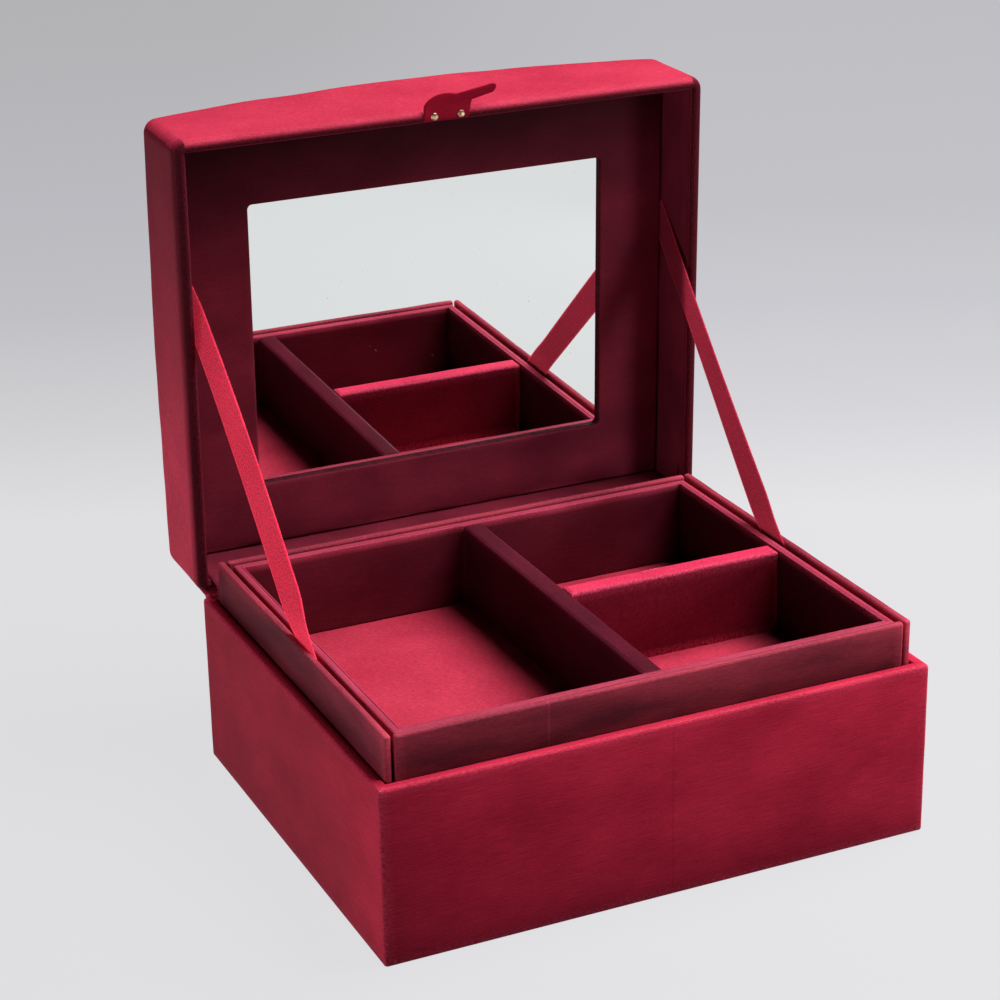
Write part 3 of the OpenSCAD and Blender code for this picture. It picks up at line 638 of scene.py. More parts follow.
# Node, shape, material, columns along x, along y and in each corner, body and slot
blocks = [
    ("collar_front_cloth", collar, "collarSatin", (64, 2, 8), "base", "satin_dark"),
    ("collar_back_cloth", collar, "collarSatin", (64, 2, 8), "base", "satin_dark"),
    ("collar_left_cloth", sideCollar, "collarSatin", (2, 54, 8), "base", "satin_dark"),
    ("collar_right_cloth", sideCollar, "collarSatin", (2, 54, 8), "base", "satin_dark"),
    ("base_bottom_sheet", thinSheet, "liningSatin", (40, 34, 4), "base", "satin_dark"),
    ("tray_bottom_sheet", thinSheet, "liningSatin", (40, 34, 4), "tray", "satin_dark"),
    ("long_divider_cloth", longDivider, "darkSatin", (5, 60, 8), "tray", "satin_dark"),
    ("short_divider_cloth", shortDivider, "twillSatin", (40, 5, 8), "tray", "satin"),
    ("tray_ledge_left", ledge, "liningSatin", (4, 44, 6), "base", "satin_dark"),
    ("tray_ledge_right", ledge, "liningSatin", (4, 44, 6), "base", "satin_dark"),
]


# Blocks in their own boxes; the crown lifts the top by crown * (1 - s^2) across its width
def makeBlocks():
    for seed, (node, shape, finish, counts, body, slot) in enumerate(blocks):
        low, high = nodeBox(node)
        middle, half = (low + high) / 2, (high - low) / 2
        narrow = int(half[1] < half[0])

        def swell(points, middle=middle, half=half, narrow=narrow, shape=shape):
            share = (points[:, narrow] - middle[narrow]) / half[narrow]
            return points[:, 2] + shape["crown"] * (1 - np.minimum(share * share, 1))

        size = np.sort(high - low)
        wrapped = size[0] > 1
        part = softBlock(low, high, shape, counts, 20 + seed, swell)
        piece = makePiece(pieceName(node), shell(part, 0.3) if wrapped else part, cloth[finish])
        finishPiece(piece, body, [node], slot)


makeBlocks()

# castTone is a painted shadow on a pad, darkest at its right edge by the wall there and fading over
# castWide
floorPad = {
    "corner": 0.5, "top": 0.7, "bottom": 0.2, "ripple": 0.0, "crown": 0.5, "lowCrown": 0.3,
    "uneven": 0.1, "cell": 1.8, "fill": 0.6, "castTone": 0.28, "castWide": 24.0,
}
tray = {
    "wall": 3.0, "corner": 0.9, "outerRidge": 0.9, "innerRidge": 0.5, "creaseAt": 2.1,
    "creaseWide": 0.22, "creaseDeep": 0.28, "step": 0.08, "card": 0.38, "bottomEdge": 0.35,
    "ripple": 0.05, "cut": 0.063, "wallShade": 0.34, "wallFade": 0.8, "cornerShade": 0.6,
    "shadeWide": 9.0, "paintedShadeSide": 0.45, "rimTone": 0.82, "rimDeep": 0.6, "near": 0.3,
    "slit": 0.03,
}


# Pads on the floors: each is swollen inside its cell by crown * (1 - s^8) * (1 - t^8)
def makePads():
    longLow, longHigh = nodeBox("long_divider_cloth")
    shortLow, shortHigh = nodeBox("short_divider_cloth")
    trayLow, trayHigh = nodeBox("tray_cloth")
    left, front = trayLow[:2] + tray["wall"]
    right, back = trayHigh[:2] - tray["wall"]
    cells = {
        "tray_pad_left": ((left, front), (longLow[0], back)),
        "tray_pad_rear": ((longHigh[0], shortHigh[1]), (right, back)),
        "tray_pad_front": ((longHigh[0], front), (right, shortLow[1])),
    }
    for seed, node in enumerate([*cells, "base_floor_pad"]):
        low, high = nodeBox(node)
        cell = np.array(cells.get(node, (low[:2], high[:2])))
        middle, half = (cell[0] + cell[1]) / 2, (cell[1] - cell[0]) / 2
        crown = floorPad["crown" if node in cells else "lowCrown"]

        def swell(points, middle=middle, half=half, crown=crown, seed=seed):
            share = np.minimum(np.abs((points[:, :2] - middle) / half), 1)
            dome = (1 - share[:, 0] ** 8) * (1 - share[:, 1] ** 8)
            lumps = floorPad["uneven"] * ripple(points, 50 + seed, 9, 40)
            return points[:, 2] + dome * (crown + lumps)

        counts = (*((high - low)[:2] / floorPad["cell"]).astype(int), 6)
        part = softBlock(low, high, floorPad, counts, 40 + seed, swell)
        piece = makePiece(pieceName(node), part, cloth["floorSatin"])
        finishPiece(piece, "tray" if node in cells else "base", [node], "satin_floor")


makePads()


# Tray cloth: outer wall, a rim of two ridges with a crease between them, and the inner wall. The
# inner wall's tone is painted shade: it falls by exp(-depth / fade) below the rim and by a smooth
# step towards the long divider and the right wall, and these two faces are darker still, in painted
# shade
def makeTrayCloth():
    low, high = nodeBox("tray_cloth")
    top, shape = high[2], tray
    outer, inner, wall, skin = (shape[k] for k in ("outerRidge", "innerRidge", "wall", "card"))
    edge, step = shape["bottomEdge"], shape["step"]
    boardTop = nodeBox("tray_floor_board")[1][2]
    across = np.linspace(outer, wall - inner, 12)
    crease = np.exp(-((across - shape["creaseAt"]) / shape["creaseWide"]) ** 2)
    dip = shape["creaseDeep"] * crease + step * (across > shape["creaseAt"])
    profile = path(
        arc((edge, low[2] + edge), edge, 270, 180, 3),
        line((0, low[2] + edge), (0, top - outer), 14),
        arc((outer, top - outer), outer, 180, 90, 6),
        np.stack([across, top - dip], -1),
        arc((wall - inner, top - inner - step), inner, 90, 0, 5),
        line((wall, top - inner - step), (wall, boardTop), 14),
        line((wall - skin, boardTop), (wall - skin, top - skin - shape["slit"]), 2),
        line((skin, top - skin - shape["slit"]), (skin, low[2] + skin), 2))
    rows = insetRows(ringColumns(90, 74, 10), low, high, profile, shape["corner"], 0.25)
    part = sweep(rows, closed=True)
    points = part["points"]
    shown = np.repeat((profile[:, 0] < 0.01) | (profile[:, 0] > wall - 0.01), rows.shape[1])
    part["points"] = lifted(part, np.where(shown, shape["ripple"] * ripple(points, 7, 10, 60), 0))
    near = shape["near"]
    depth = np.clip(top - points[:, 2] - shape["rimDeep"], 0, None)
    inside = np.repeat(profile[:, 0] > wall - near, rows.shape[1])
    shade = toward(shape["wallShade"], 1 - np.exp(-depth / shape["wallFade"]))
    for face in (high[0] - wall, nodeBox("long_divider_cloth")[0][0]):
        away = np.clip((face - points[:, 0]) / shape["shadeWide"], 0, 1)
        away[points[:, 0] > face + near] = 1
        shade *= toward(shape["cornerShade"], 1 - smooth(away)) \
            * np.where(np.abs(points[:, 0] - face) < near, shape["paintedShadeSide"], 1)
    part["tone"] = np.where(inside, shade, 1.0) * shape["rimTone"]
    piece = makePiece("trayCloth", part, cloth["traySatin"])
    finishPiece(piece, "tray", ["tray_cloth"], "satin")
    girth(low, high)


makeTrayCloth()
print("base and tray made")

lid = {
    "side": 91.2, "front": -76.0, "back": 74.5, "rim": 57.7, "sideHeight": 34.5, "rise": 13.0,
    "crown": 2.5, "edge": 7.5, "corner": 4.4, "rimOuter": 2.6, "rimDeep": 3.4, "rimProud": 0.2,
    "rimInner": 1.1, "lip": 3.7, "ripple": 0.12, "wearAndHighlightRadius": 2.0, "fill": 0.8, "wallRows": 16,
    "sideTone": 0.48, "sideRise": 1.9, "sidePower": 1.6, "sideMost": 1.65, "rimShade": 0.12,
    "rimFade": 1.3, "rimBegin": (-0.5, 1.0), "lipHigh": 6.0, "leastCorner": 0.9,
    "rippleFrom": 2.0, "rippleOver": 8.0, "sideBand": 0.5,
}
# The lid's outline, shut: its corners at the level of the rim
lidLow = np.array([-lid["side"], lid["front"], lid["rim"]])
lidHigh = np.array([lid["side"], lid["back"], lid["rim"]])


# Height of the lid's top, shut: an arch across, sqrt(R^2 - x^2), with a crown of 1 - t^2 along
def lidHeight(x, y):
    radius = (lid["side"] ** 2 + lid["rise"] ** 2) / (2 * lid["rise"])
    middle, half = (lid["front"] + lid["back"]) / 2, (lid["back"] - lid["front"]) / 2
    share = np.clip((y - middle) / half, -1, 1)
    return lid["rim"] + lid["sideHeight"] + lid["rise"] - radius \
        + lid["crown"] * (1 - share ** 2) + np.sqrt(radius ** 2 - x ** 2)


# Lid cover: lip, rounded rim, walls up to the arch, soft edges, and the padded top as a grid. The
# sides' tone, painted light and shade, rises from front to hinge by least + rise * t^power, and the
# rim's falls inwards as painted shade
def makeLidCover():
    rim, edge, lip, wallRows = lid["rim"], lid["edge"], lid["lip"], lid["wallRows"]
    outer, inner, deep = lid["rimOuter"], lid["rimInner"], lid["rimDeep"]
    face = rim - lid["rimProud"]
    columns = ringColumns(90, 74, 16)
    rimTurn = np.radians(np.linspace(-90, -180, 10))
    rimPath = path(
        line((lip, rim + lid["lipHigh"]), (lip, face + inner), 4),
        arc((lip - inner, face + inner), inner, 0, -90, 5),
        np.stack([outer + outer * np.cos(rimTurn), face + deep + deep * np.sin(rimTurn)], -1))
    wallShare = np.linspace(0, 1, wallRows + 1)[1:]
    edgeTurn = np.radians(np.linspace(0, 90, 11)[1:])
    inset = np.concatenate([rimPath[:, 0], np.zeros(wallRows), edge * (1 - np.cos(edgeTurn))])
    radius = np.maximum(lid["corner"] - inset, lid["leastCorner"])
    half = (lidHigh - lidLow)[:2] / 2 - inset[:, None]
    rows = ringRows(columns, (lidLow + lidHigh)[:2] / 2, half, radius, np.zeros(len(inset)))
    top = lidHeight(rows[..., 0], rows[..., 1])
    first, last, foot = len(rimPath), len(rimPath) + wallRows, face + deep
    rows[:first, :, 2] = rimPath[:, 1][:, None]
    rows[first:last, :, 2] = foot + (top[first:last] - edge - foot) * wallShare[:, None]
    rows[last:, :, 2] = top[last:] - edge * (1 - np.sin(edgeTurn))[:, None]

    # The cap takes the height of the padded top
    def swell(points):
        return lidHeight(points[:, 0], points[:, 1])

    part = addCap(sweep(rows), columns, -1, len(inset), True, swell)
    points = part["points"]
    height = np.clip((points[:, 2] - rim - lid["rippleFrom"]) / lid["rippleOver"], 0, 1)
    points = lifted(part, lid["ripple"] * height * ripple(points, 11, 16, 90))
    part["points"] = opened(points)
    along = np.clip((points[:, 1] - lidLow[1]) / (lidHigh[1] - lidLow[1]), 0, 1)
    side = lid["sideTone"] + lid["sideRise"] * along ** lid["sidePower"]
    out = np.abs(points[:, 0])
    onSide = out > lid["side"] - lid["sideBand"]
    part["tone"] = np.where(onSide, np.minimum(side, lid["sideMost"]), 1.0)
    rimCount = first * rows.shape[1]
    begin = np.where(out[:rimCount] > lid["side"] - lip - 0.1, *lid["rimBegin"])
    turnIn = (np.repeat(inset[:first], rows.shape[1]) - begin) / lid["rimFade"]
    part["tone"][:rimCount] *= toward(lid["rimShade"], np.clip(turnIn, 0, 1))
    piece = makePiece("lidCover", part, cloth["lidSatin"], lid["wearAndHighlightRadius"])
    finishPiece(piece, "lid", ["lid_cover", "lid_padding"], "satin")


makeLidCover()

lining = {
    "face": 4.0, "behind": 3.45, "fold": 1.0, "foldSpare": 0.05, "foldProud": 0.08,
    "top": 80.3, "wrinkle": 0.22, "squeeze": (1, 0.35, 2.2), "riseOver": 4.0,
    "cut": 0.0225, "tone": 0.72,
}


# Lining on the lid's inner walls: a folded edge at the rim, and slack drawn into long wrinkles,
# which are a ripple on squeezed coordinates; it lies in shade, so its tone is low all over
def makeLidLining():
    face, behind, top = lining["face"], lining["behind"], lining["top"]
    foot = lid["rim"] + lining["fold"]
    fold = (face - behind) / 2 + lining["foldSpare"]
    profile = path(
        line((face, top), (face, foot + fold), 16),
        arc((face - fold + lining["foldProud"], foot + fold), fold, 0, -180, 6),
        line((behind, foot + fold), (behind, top), 3))
    rows = insetRows(ringColumns(100, 84, 8), lidLow, lidHigh, profile, lid["corner"], 0.3)
    part = sweep(rows, closed=True)
    points = part["points"]
    shown = np.repeat(profile[:, 0] > face - 0.01, rows.shape[1])
    slack = lining["wrinkle"] * ripple(points * np.array(lining["squeeze"]), 13, 9, 30, 18)
    rise = np.clip((points[:, 2] - foot) / lining["riseOver"], 0, 1)
    part["points"] = opened(lifted(part, np.where(shown, rise * slack, 0)))
    part["tone"] = np.full(len(points), lining["tone"])
    piece = makePiece("lidLining", part, cloth["liningSatin"])
    finishPiece(piece, "lid", ["lid_lining"], "satin_dark")


makeLidLining()

mirrorFrame = {
    "side": 86.75, "front": -71.55, "back": 70.05, "face": 78.4, "rear": 80.38, "cloth": 0.36,
    "windowX": 1.5, "windowY": 1.0, "windowWide": 125.0, "windowHigh": 95.5, "outerEdge": 0.45,
    "windowEdge": 0.8, "windowCorner": 1.6, "outerCorner": 0.35, "turnIn": 1.4, "ripple": 0.05,
    "cut": (0.1735, 0.1416), "area": 0.0150, "topShade": 0.18, "shadeDown": 40.0,
    "windowShade": 0.3, "windowLip": 0.5, "behindFrom": 0.1, "behindOver": 0.5,
}


# Cloth of the mirror's frame: window edge, face and outer edge as one ring, and its back. Its
# tone is painted shade: it rises by a smooth step from the top edge, open, and is lower behind the
# face, at the edges
def makeFrameCloth():
    shape = mirrorFrame
    face, rear, skin = shape["face"], shape["rear"], shape["cloth"]
    window = np.array([shape["windowX"], shape["windowY"]])
    windowHalf = np.array([shape["windowWide"], shape["windowHigh"]]) / 2
    outer = np.array([0, (shape["front"] + shape["back"]) / 2])
    outerHalf = np.array([shape["side"], (shape["back"] - shape["front"]) / 2])
    edge, rim, corner = shape["windowEdge"], shape["outerEdge"], shape["windowCorner"]
    turn = np.radians(np.linspace(0, 90, 7))
    share = np.linspace(0, 1, 15)[1:-1, None]
    # Rows from the window over the face to the outer edge, then back along the rear: the growth
    # of the window or the outer rectangle, the centre and the height of each
    windowGrow = np.concatenate([[0, 0], edge * (1 - np.cos(turn))])
    windowHeight = np.concatenate([
        [rear, rear - shape["windowLip"]], face + edge * (1 - np.sin(turn))])
    outerGrow = -rim + rim * np.sin(turn)
    halves = np.vstack([
        windowHalf + windowGrow[:, None],
        (windowHalf + edge) * (1 - share) + (outerHalf - rim) * share,
        outerHalf + outerGrow[:, None],
        [outerHalf, outerHalf - skin, outerHalf - skin],
        [windowHalf + skin, windowHalf + skin]])
    centres = np.vstack([
        np.tile(window, (len(windowGrow), 1)),
        window * (1 - share) + outer * share,
        np.tile(outer, (len(outerGrow) + 3, 1)),
        [window, window]])
    heights = np.concatenate([
        windowHeight, np.full(len(share), face), face + rim * (1 - np.cos(turn)),
        [face + shape["turnIn"]] * 2, [face + skin] * 2, [rear]])
    ringShare = np.clip(len(windowGrow) + 4 - np.arange(len(heights)), 0, 4) / 4
    radii = shape["outerCorner"] + (corner - shape["outerCorner"]) * ringShare
    radii[-2:] = corner
    part = sweep(ringRows(ringColumns(70, 56, 6), centres, halves, radii, heights), closed=True)
    points = part["points"]
    part["uvs"] = points[part["quads"]][..., :2] * millimetre
    flatFace = np.abs(points[:, 2] - face) < 1e-6
    lift = np.where(flatFace, shape["ripple"] * ripple(points, 17, 12, 70), 0)
    down = np.clip((points[:, 1] - shape["front"]) / shape["shadeDown"], 0, 1)
    behind = np.clip(
        (points[:, 2] - face - shape["behindFrom"]) / shape["behindOver"], 0, 1)
    part["tone"] = toward(shape["topShade"], 1 - smooth(down)) \
        * toward(shape["windowShade"], behind)
    part["points"] = opened(lifted(part, lift))
    piece = makePiece("mirrorFrameCloth", part, cloth["liningSatin"])
    finishPiece(piece, "lid", ["mirror_frame_cloth"], "satin_dark")


makeFrameCloth()


# Strip along a path: two faces and two edges, the width laid sideways and the thickness across
def strip(centre, sideways, thick, across):
    along = np.gradient(centre, axis=0)
    along /= np.linalg.norm(along, axis=1)[:, None]
    outwards = np.cross(along, sideways)
    outwards /= np.linalg.norm(outwards, axis=1)[:, None]
    middle = centre[:, None] + sideways[:, None] * across[..., None]
    half = outwards[:, None] * thick[..., None] / 2
    return middle + half, middle - half


# Closed band from an upper and a lower face with the same grid, joined round its edges
def band(upper, lower):
    count, width = upper.shape[:2]
    points = np.concatenate([upper.reshape(-1, 3), lower.reshape(-1, 3)])
    top = np.arange(count * width).reshape(count, width)
    under = top + count * width
    faces = [
        np.stack([top[:-1, :-1], top[:-1, 1:], top[1:, 1:], top[1:, :-1]], -1).reshape(-1, 4),
        np.stack([under[:-1, :-1], under[1:, :-1], under[1:, 1:], under[:-1, 1:]], -1)
        .reshape(-1, 4)]
    for edgeTop, edgeUnder in (
            (top[0], under[0]), (top[:, -1], under[:, -1]),
            (top[-1, ::-1], under[-1, ::-1]), (top[::-1, 0], under[::-1, 0])):
        faces.append(np.stack([edgeTop[:-1], edgeUnder[:-1], edgeUnder[1:], edgeTop[1:]], -1))
    quads = np.vstack(faces)
    run = np.linalg.norm(np.diff(upper.mean(1), axis=0), axis=1)
    v = np.concatenate([[0], np.cumsum(run)])
    wide = np.linalg.norm(np.diff(upper, axis=1), axis=2).max(0)
    u = np.concatenate([[0], np.cumsum(wide)])
    grid = np.stack(np.meshgrid(u, v), -1).reshape(-1, 2)
    return {"points": points, "quads": quads,
            "uvs": np.concatenate([grid, grid])[quads] * millimetre}


# Stay ribbons: foot and head are distances along base and lid from the hinge, twist is in
# degrees at shares of the free length, and hidden is the length of both ends behind linings;
# places run from the middle to the edge, with the thickness and the added tone at each
ribbon = {
    "width": 11.4, "thick": 0.3, "footX": 83.45, "headX": 86.95, "tail": 22.0, "behind": 3.0,
    "hidden": 26, "steps": 2000, "smooth": 80, "picot": 0.24, "picotPitch": 0.62,
    "places": (0, 0.3, 0.6, 0.87, 0.94, 1.0), "thickness": (0.8, 0.8, 0.8, 0.8, 1.0, 0.55),
    "edgeTone": (0, 0, 0, 0, 0.25, 0.25), "wearAndHighlightRadius": 0.3, "headDepth": 21.3,
    "bendFrom": 0.175, "bendTo": 1.052,
    # A ribbon's own tone is painted light and shade: the right one lies lower, in the lid's shade
    "left": {"foot": 77.5, "head": 108.0, "swing": 3.0, "at": (0.03, 0.1, 0.55, 0.85, 0.96),
             "twist": (0, 14, 13.5, 11, 0), "tone": 1.05},
    "right": {"foot": 64.5, "head": 97.0, "swing": 1.3, "at": (0.03, 0.08, 0.5, 0.75, 0.96),
              "twist": (0, 5, -2, -4, -2), "tone": 0.75},
}


# Stay ribbon: flat in the gap by the tray, then taut to the lid while it turns by its twist; its
# edges swing out by picot * |sin|, and are paler than its middle
def makeRibbon(side):
    name = "left" if side < 0 else "right"
    shape, own = ribbon, ribbon[name]
    turn = math.radians(hinge["open"])
    footPoint = np.array([hinge["y"] - own["foot"], nodeBox("collar_front_cloth")[1][2]])
    headPoint = np.array([
        hinge["y"] - own["head"] * math.cos(turn) + shape["headDepth"] * math.sin(turn),
        hinge["z"] + own["head"] * math.sin(turn) + shape["headDepth"] * math.cos(turn)])
    length = np.linalg.norm(headPoint - footPoint)
    unit = (headPoint - footPoint) / length
    run = np.linspace(-shape["tail"], length + shape["behind"] / unit[0], shape["steps"])
    free = np.clip(run / length, 0, 1)
    x = shape["footX"] + (shape["headX"] - shape["footX"]) * free ** own["swing"]
    centre = np.stack([side * x, footPoint[0] + run * unit[0], footPoint[1] + run * unit[1]], -1)
    smoothing = np.hanning(2 * shape["smooth"] + 1)
    twist = np.radians(np.interp(free, own["at"], own["twist"]))
    twist = np.convolve(np.pad(twist, shape["smooth"], mode="edge"),
                        smoothing / smoothing.sum(), "valid")
    flat = np.array([0, -unit[1], unit[0]])
    sideways = flat * np.cos(twist)[:, None] + np.array([1.0, 0, 0]) * np.sin(twist)[:, None]
    scallop = shape["picot"] * np.abs(np.sin(math.pi * run / shape["picotPitch"]))
    half = shape["width"] / 2 - shape["picot"] / 2 + scallop
    places = np.concatenate([-np.array(shape["places"][:0:-1]), shape["places"]])
    across = half[:, None] * places
    out = np.abs(places)
    thick, edge = (np.broadcast_to(np.interp(out, shape["places"], shape[key]), across.shape)
                   for key in ("thickness", "edgeTone"))
    part = band(*strip(centre, sideways, shape["thick"] * thick, across))
    part["tone"] = own["tone"] + np.tile(edge.ravel(), 2)
    node = "ribbon_" + name
    piece = makePiece(pieceName(node), part, ribbonSatin, shape["wearAndHighlightRadius"])
    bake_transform(piece)
    finishPiece(piece, None, [node], "ribbon")


makeRibbon(-1)
makeRibbon(1)

# Hinge cloths: bendStart and bendEnd, in metres, bound the bend at the hinge
hingeCloth = {
    "half": 88.8, "leg": 22.0, "thick": 0.4, "bend": 0.9, "fray": 0.35, "seed": 31,
    "bendStart": (0, 0.0743, 0.0564), "bendEnd": (0, 0.0753, 0.0574), "cut": (0.1776, 0.044),
    "finish": "crimsonSatin", "slot": "satin", "on": "base_back_board",
}
hingeLining = {
    "half": 86.0, "y": 70.7, "low": 46.0, "bend": 2.2, "inner": 4.2, "reach": 20.8,
    "thick": 0.36, "fray": 0.15, "seed": 33,
    "bendStart": (0, 0.0707, 0.0566), "bendEnd": (0, 0.0751, 0.0613), "cut": (0.172, 0.036),
    "finish": "liningSatin", "slot": "satin_dark", "on": "collar_back_cloth",
}


# Strip of cloth across the whole hinge along a path of (y, z) points; its cut ends are uneven,
# moved along the path by a ripple
def makeHingePiece(node, shape, pathPoints):
    places = np.linspace(-1, 1, 121) * shape["half"]
    centre = np.stack([np.zeros(len(pathPoints)), pathPoints[:, 0], pathPoints[:, 1]], -1)
    sideways = np.tile([1.0, 0, 0], (len(centre), 1))
    across = np.broadcast_to(places, (len(centre), len(places)))
    upper, lower = strip(centre, sideways, np.full(across.shape, shape["thick"]), across)
    wave = ripple(np.stack([places, places * 0, places * 0], -1), shape["seed"], 2.5, 25)
    along = np.gradient(centre, axis=0)
    along /= np.linalg.norm(along, axis=1)[:, None]
    ends = np.zeros(len(centre))
    ends[:3] = (-1, -0.6, -0.2)
    ends[-3:] = (0.2, 0.6, 1)
    shift = shape["fray"] * ends[:, None, None] * wave[None, :, None] * along[:, None]
    part = band(upper + shift, lower + shift)
    part["quads"], part["uvs"] = part["quads"][:, ::-1], part["uvs"][:, ::-1]
    piece = makePiece(pieceName(node), part, cloth[shape["finish"]])
    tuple(shape["bendStart"])
    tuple(shape["bendEnd"])
    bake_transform(piece)
    finishPiece(piece, None, [node], shape["slot"])


# Outside, the cloth runs up the base's back, bends at the rims and goes out under the lid's back;
# inside, the lining comes out of the gap behind the collar and lies on the lid's back wall
def makeHingeCloths():
    turn = math.radians(90 - hinge["open"])
    lean = np.array([math.cos(turn), math.sin(turn)])
    bend, outside = hingeCloth["bend"], hingeCloth["thick"] / 2
    wallY, lidZ = hinge["y"] + outside, hinge["z"] - outside
    away = line((0, 0), lean * (hingeCloth["leg"] - bend), 16)
    makeHingePiece("hinge_cloth", hingeCloth, path(
        line((wallY, lidZ - hingeCloth["leg"]), (wallY, lidZ - bend), 16),
        arc((wallY + bend, lidZ - bend), bend, 180, 180 - hinge["open"], 8),
        away + np.array([wallY + bend, lidZ])))
    bend, wallY, lidZ = hingeLining["bend"], hingeLining["y"], hinge["z"] + hingeLining["inner"]
    away = line((0, 0), lean * hingeLining["reach"], 16)
    makeHingePiece("hinge_lining", hingeLining, path(
        line((wallY, hingeLining["low"]), (wallY, lidZ - bend), 10),
        arc((wallY + bend, lidZ - bend), bend, 180, 90, 8),
        line((wallY + bend, lidZ), (hinge["y"], lidZ), 3),
        away + np.array([hinge["y"], lidZ])))


makeHingeCloths()

tab = {
    "left": -8.8, "right": 7.1, "root": 3.4, "flap": 5.3, "flapWide": 7.2, "thick": 0.9,
    "sink": 0.5, "tongueUp": 5.5, "tongueSlope": 0.175, "tongueLow": 1.9, "lowSlope": 0.23,
    "curl": 0.8, "curlFrom": 0.5, "curlOver": 5.0, "curlMost": 1.4, "curlPower": 1.5,
    "end": 15.9, "tip": 1.6, "start": 1.5, "startEdge": 0.5, "flapLeast": 0.5,
    "join": 0.15, "neck": 0.6, "square": 0.45, "pillow": 0.9, "creaseAt": 0.35,
    "creaseWide": 0.5, "creaseDeep": 0.35, "bend": 0.7, "cut": (0.0245, 0.0104),
    "area": 0.00018,
}


# Pull tab: for each place across, a rounded section |cos|^a by |sin|^b between a lower and an
# upper edge; the flap's edge is a half ellipse and the tongue's a sloping line, joined by
# log(exp(a) + exp(b)); it is creased at the rim and curls down past it
def makePullTab():
    shape, front, level = tab, lid["front"], lid["rim"] + tab["sink"] - tab["thick"] / 2
    left, right, end, tip = shape["left"], shape["right"], shape["end"], shape["tip"]
    begin, join, least = shape["start"], shape["join"], shape["flapLeast"]
    turn = np.linspace(0, math.pi / 2, 10)
    x = np.concatenate([left + begin * (1 - np.cos(turn)),
                        np.linspace(left + begin, end - tip, 60)[1:-1],
                        end - tip + tip * np.sin(turn)])
    across = np.clip((x - left) / shape["flapWide"] - 1, -1, 1)
    flapTop = least + (shape["flap"] - least) * np.sqrt(1 - across ** 2)
    tongueTop = shape["tongueUp"] + shape["tongueSlope"] * (x - right)
    upper = join * np.logaddexp(flapTop / join, tongueTop / join)
    upper = np.where(x < left + shape["flapWide"], flapTop, upper)
    neck = smooth(np.clip((x - right + shape["neck"]) / (2 * shape["neck"]), 0, 1))
    lower = -shape["root"] * (1 - neck) \
        + (shape["tongueLow"] + shape["lowSlope"] * (x - right)) * neck
    endRound = np.sqrt(np.clip(1 - np.clip((x - end + tip) / tip, 0, 1) ** 2, 0, 1))
    startRound = np.clip(1 - (x - left) / shape["startEdge"], 0, 1)
    startRound = np.sqrt(np.clip(1 - startRound ** 2, 0, 1))
    angle = np.linspace(0, 2 * math.pi, 49)[:-1]
    reach = np.sign(np.cos(angle)) * np.abs(np.cos(angle)) ** shape["square"]
    depth = np.sign(np.sin(angle)) * np.abs(np.sin(angle)) ** shape["pillow"]
    out = ((upper + lower) / 2)[:, None] + ((upper - lower) / 2 * endRound)[:, None] * reach
    crease = np.exp(-((out - shape["creaseAt"]) / shape["creaseWide"]) ** 2)
    curl = np.clip((out - shape["curlFrom"]) / shape["curlOver"], 0, shape["curlMost"])
    curl = shape["curl"] * curl ** shape["curlPower"]
    thickness = shape["thick"] / 2 * (endRound * startRound)[:, None] * depth
    height = level + thickness * (1 - shape["creaseDeep"] * crease) - curl
    part = sweep(np.stack([np.broadcast_to(x[:, None], out.shape), front - out, height], -1))
    part["points"] = opened(part["points"])
    part["uvs"] = part["points"][part["quads"]][..., ::2] * millimetre
    part["weld"] = True
    piece = makePiece("pullTab", part, cloth["tabSatin"])
    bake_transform(piece)
    finishPiece(piece, None, ["pull_tab_plate", "pull_tab_bend", "pull_tab_tongue"], "satin")


makePullTab()

rivet = {"x": -0.7, "pitch": 9.2, "radius": 1.25, "dome": 0.5, "root": 2.0, "shank": 0.5,
         "deep": 3.6, "edge": 0.05, "neck": 0.86}


# Rivets: shank and domed head turned about one axis, the head's r and height a quarter ellipse
def makeRivets():
    face, edge = lid["rim"] + tab["sink"] - tab["thick"], rivet["edge"]
    turn = np.linspace(0, math.pi / 2, 9)[1:-1]
    radius = np.concatenate([
        [0, rivet["shank"], rivet["shank"]], rivet["radius"] * np.array([rivet["neck"], 1.0]),
        rivet["radius"] * np.cos(turn), [0]])
    depth = np.concatenate([
        [-rivet["deep"], -rivet["deep"], 0, 0, edge], edge + rivet["dome"] * np.sin(turn),
        [edge + rivet["dome"]]])
    angle = np.linspace(0, 2 * math.pi, 33)[:-1]
    parts = []
    for side in (-1, 1):
        x = rivet["x"] + side * rivet["pitch"] / 2 + radius[:, None] * np.cos(angle)
        y = lid["front"] + rivet["root"] + radius[:, None] * np.sin(angle)
        z = np.broadcast_to((face - depth)[:, None], x.shape)
        parts.append(sweep(np.stack([x, y, z], -1)[:, ::-1]))
    shift = len(parts[0]["points"])
    part = {
        "points": opened(np.vstack([parts[0]["points"], parts[1]["points"]])),
        "quads": np.vstack([parts[0]["quads"], parts[1]["quads"] + shift]),
        "uvs": np.concatenate([parts[0]["uvs"], parts[1]["uvs"]]), "weld": True}
    finishPiece(makePiece("pullTabRivets", part, wornBrass), "lid", ["pull_tab_rivets"], "rivet")


makeRivets()
print("lid made")

# CAD nodes that stay: the card boards, and the mirror's glass
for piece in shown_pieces():
    if "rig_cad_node" in piece:
        glass = piece["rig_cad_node"] == "mirror_glass"
        piece.data.materials.clear()
        piece.data.materials.append(silveredGlass if glass else greyBoard)

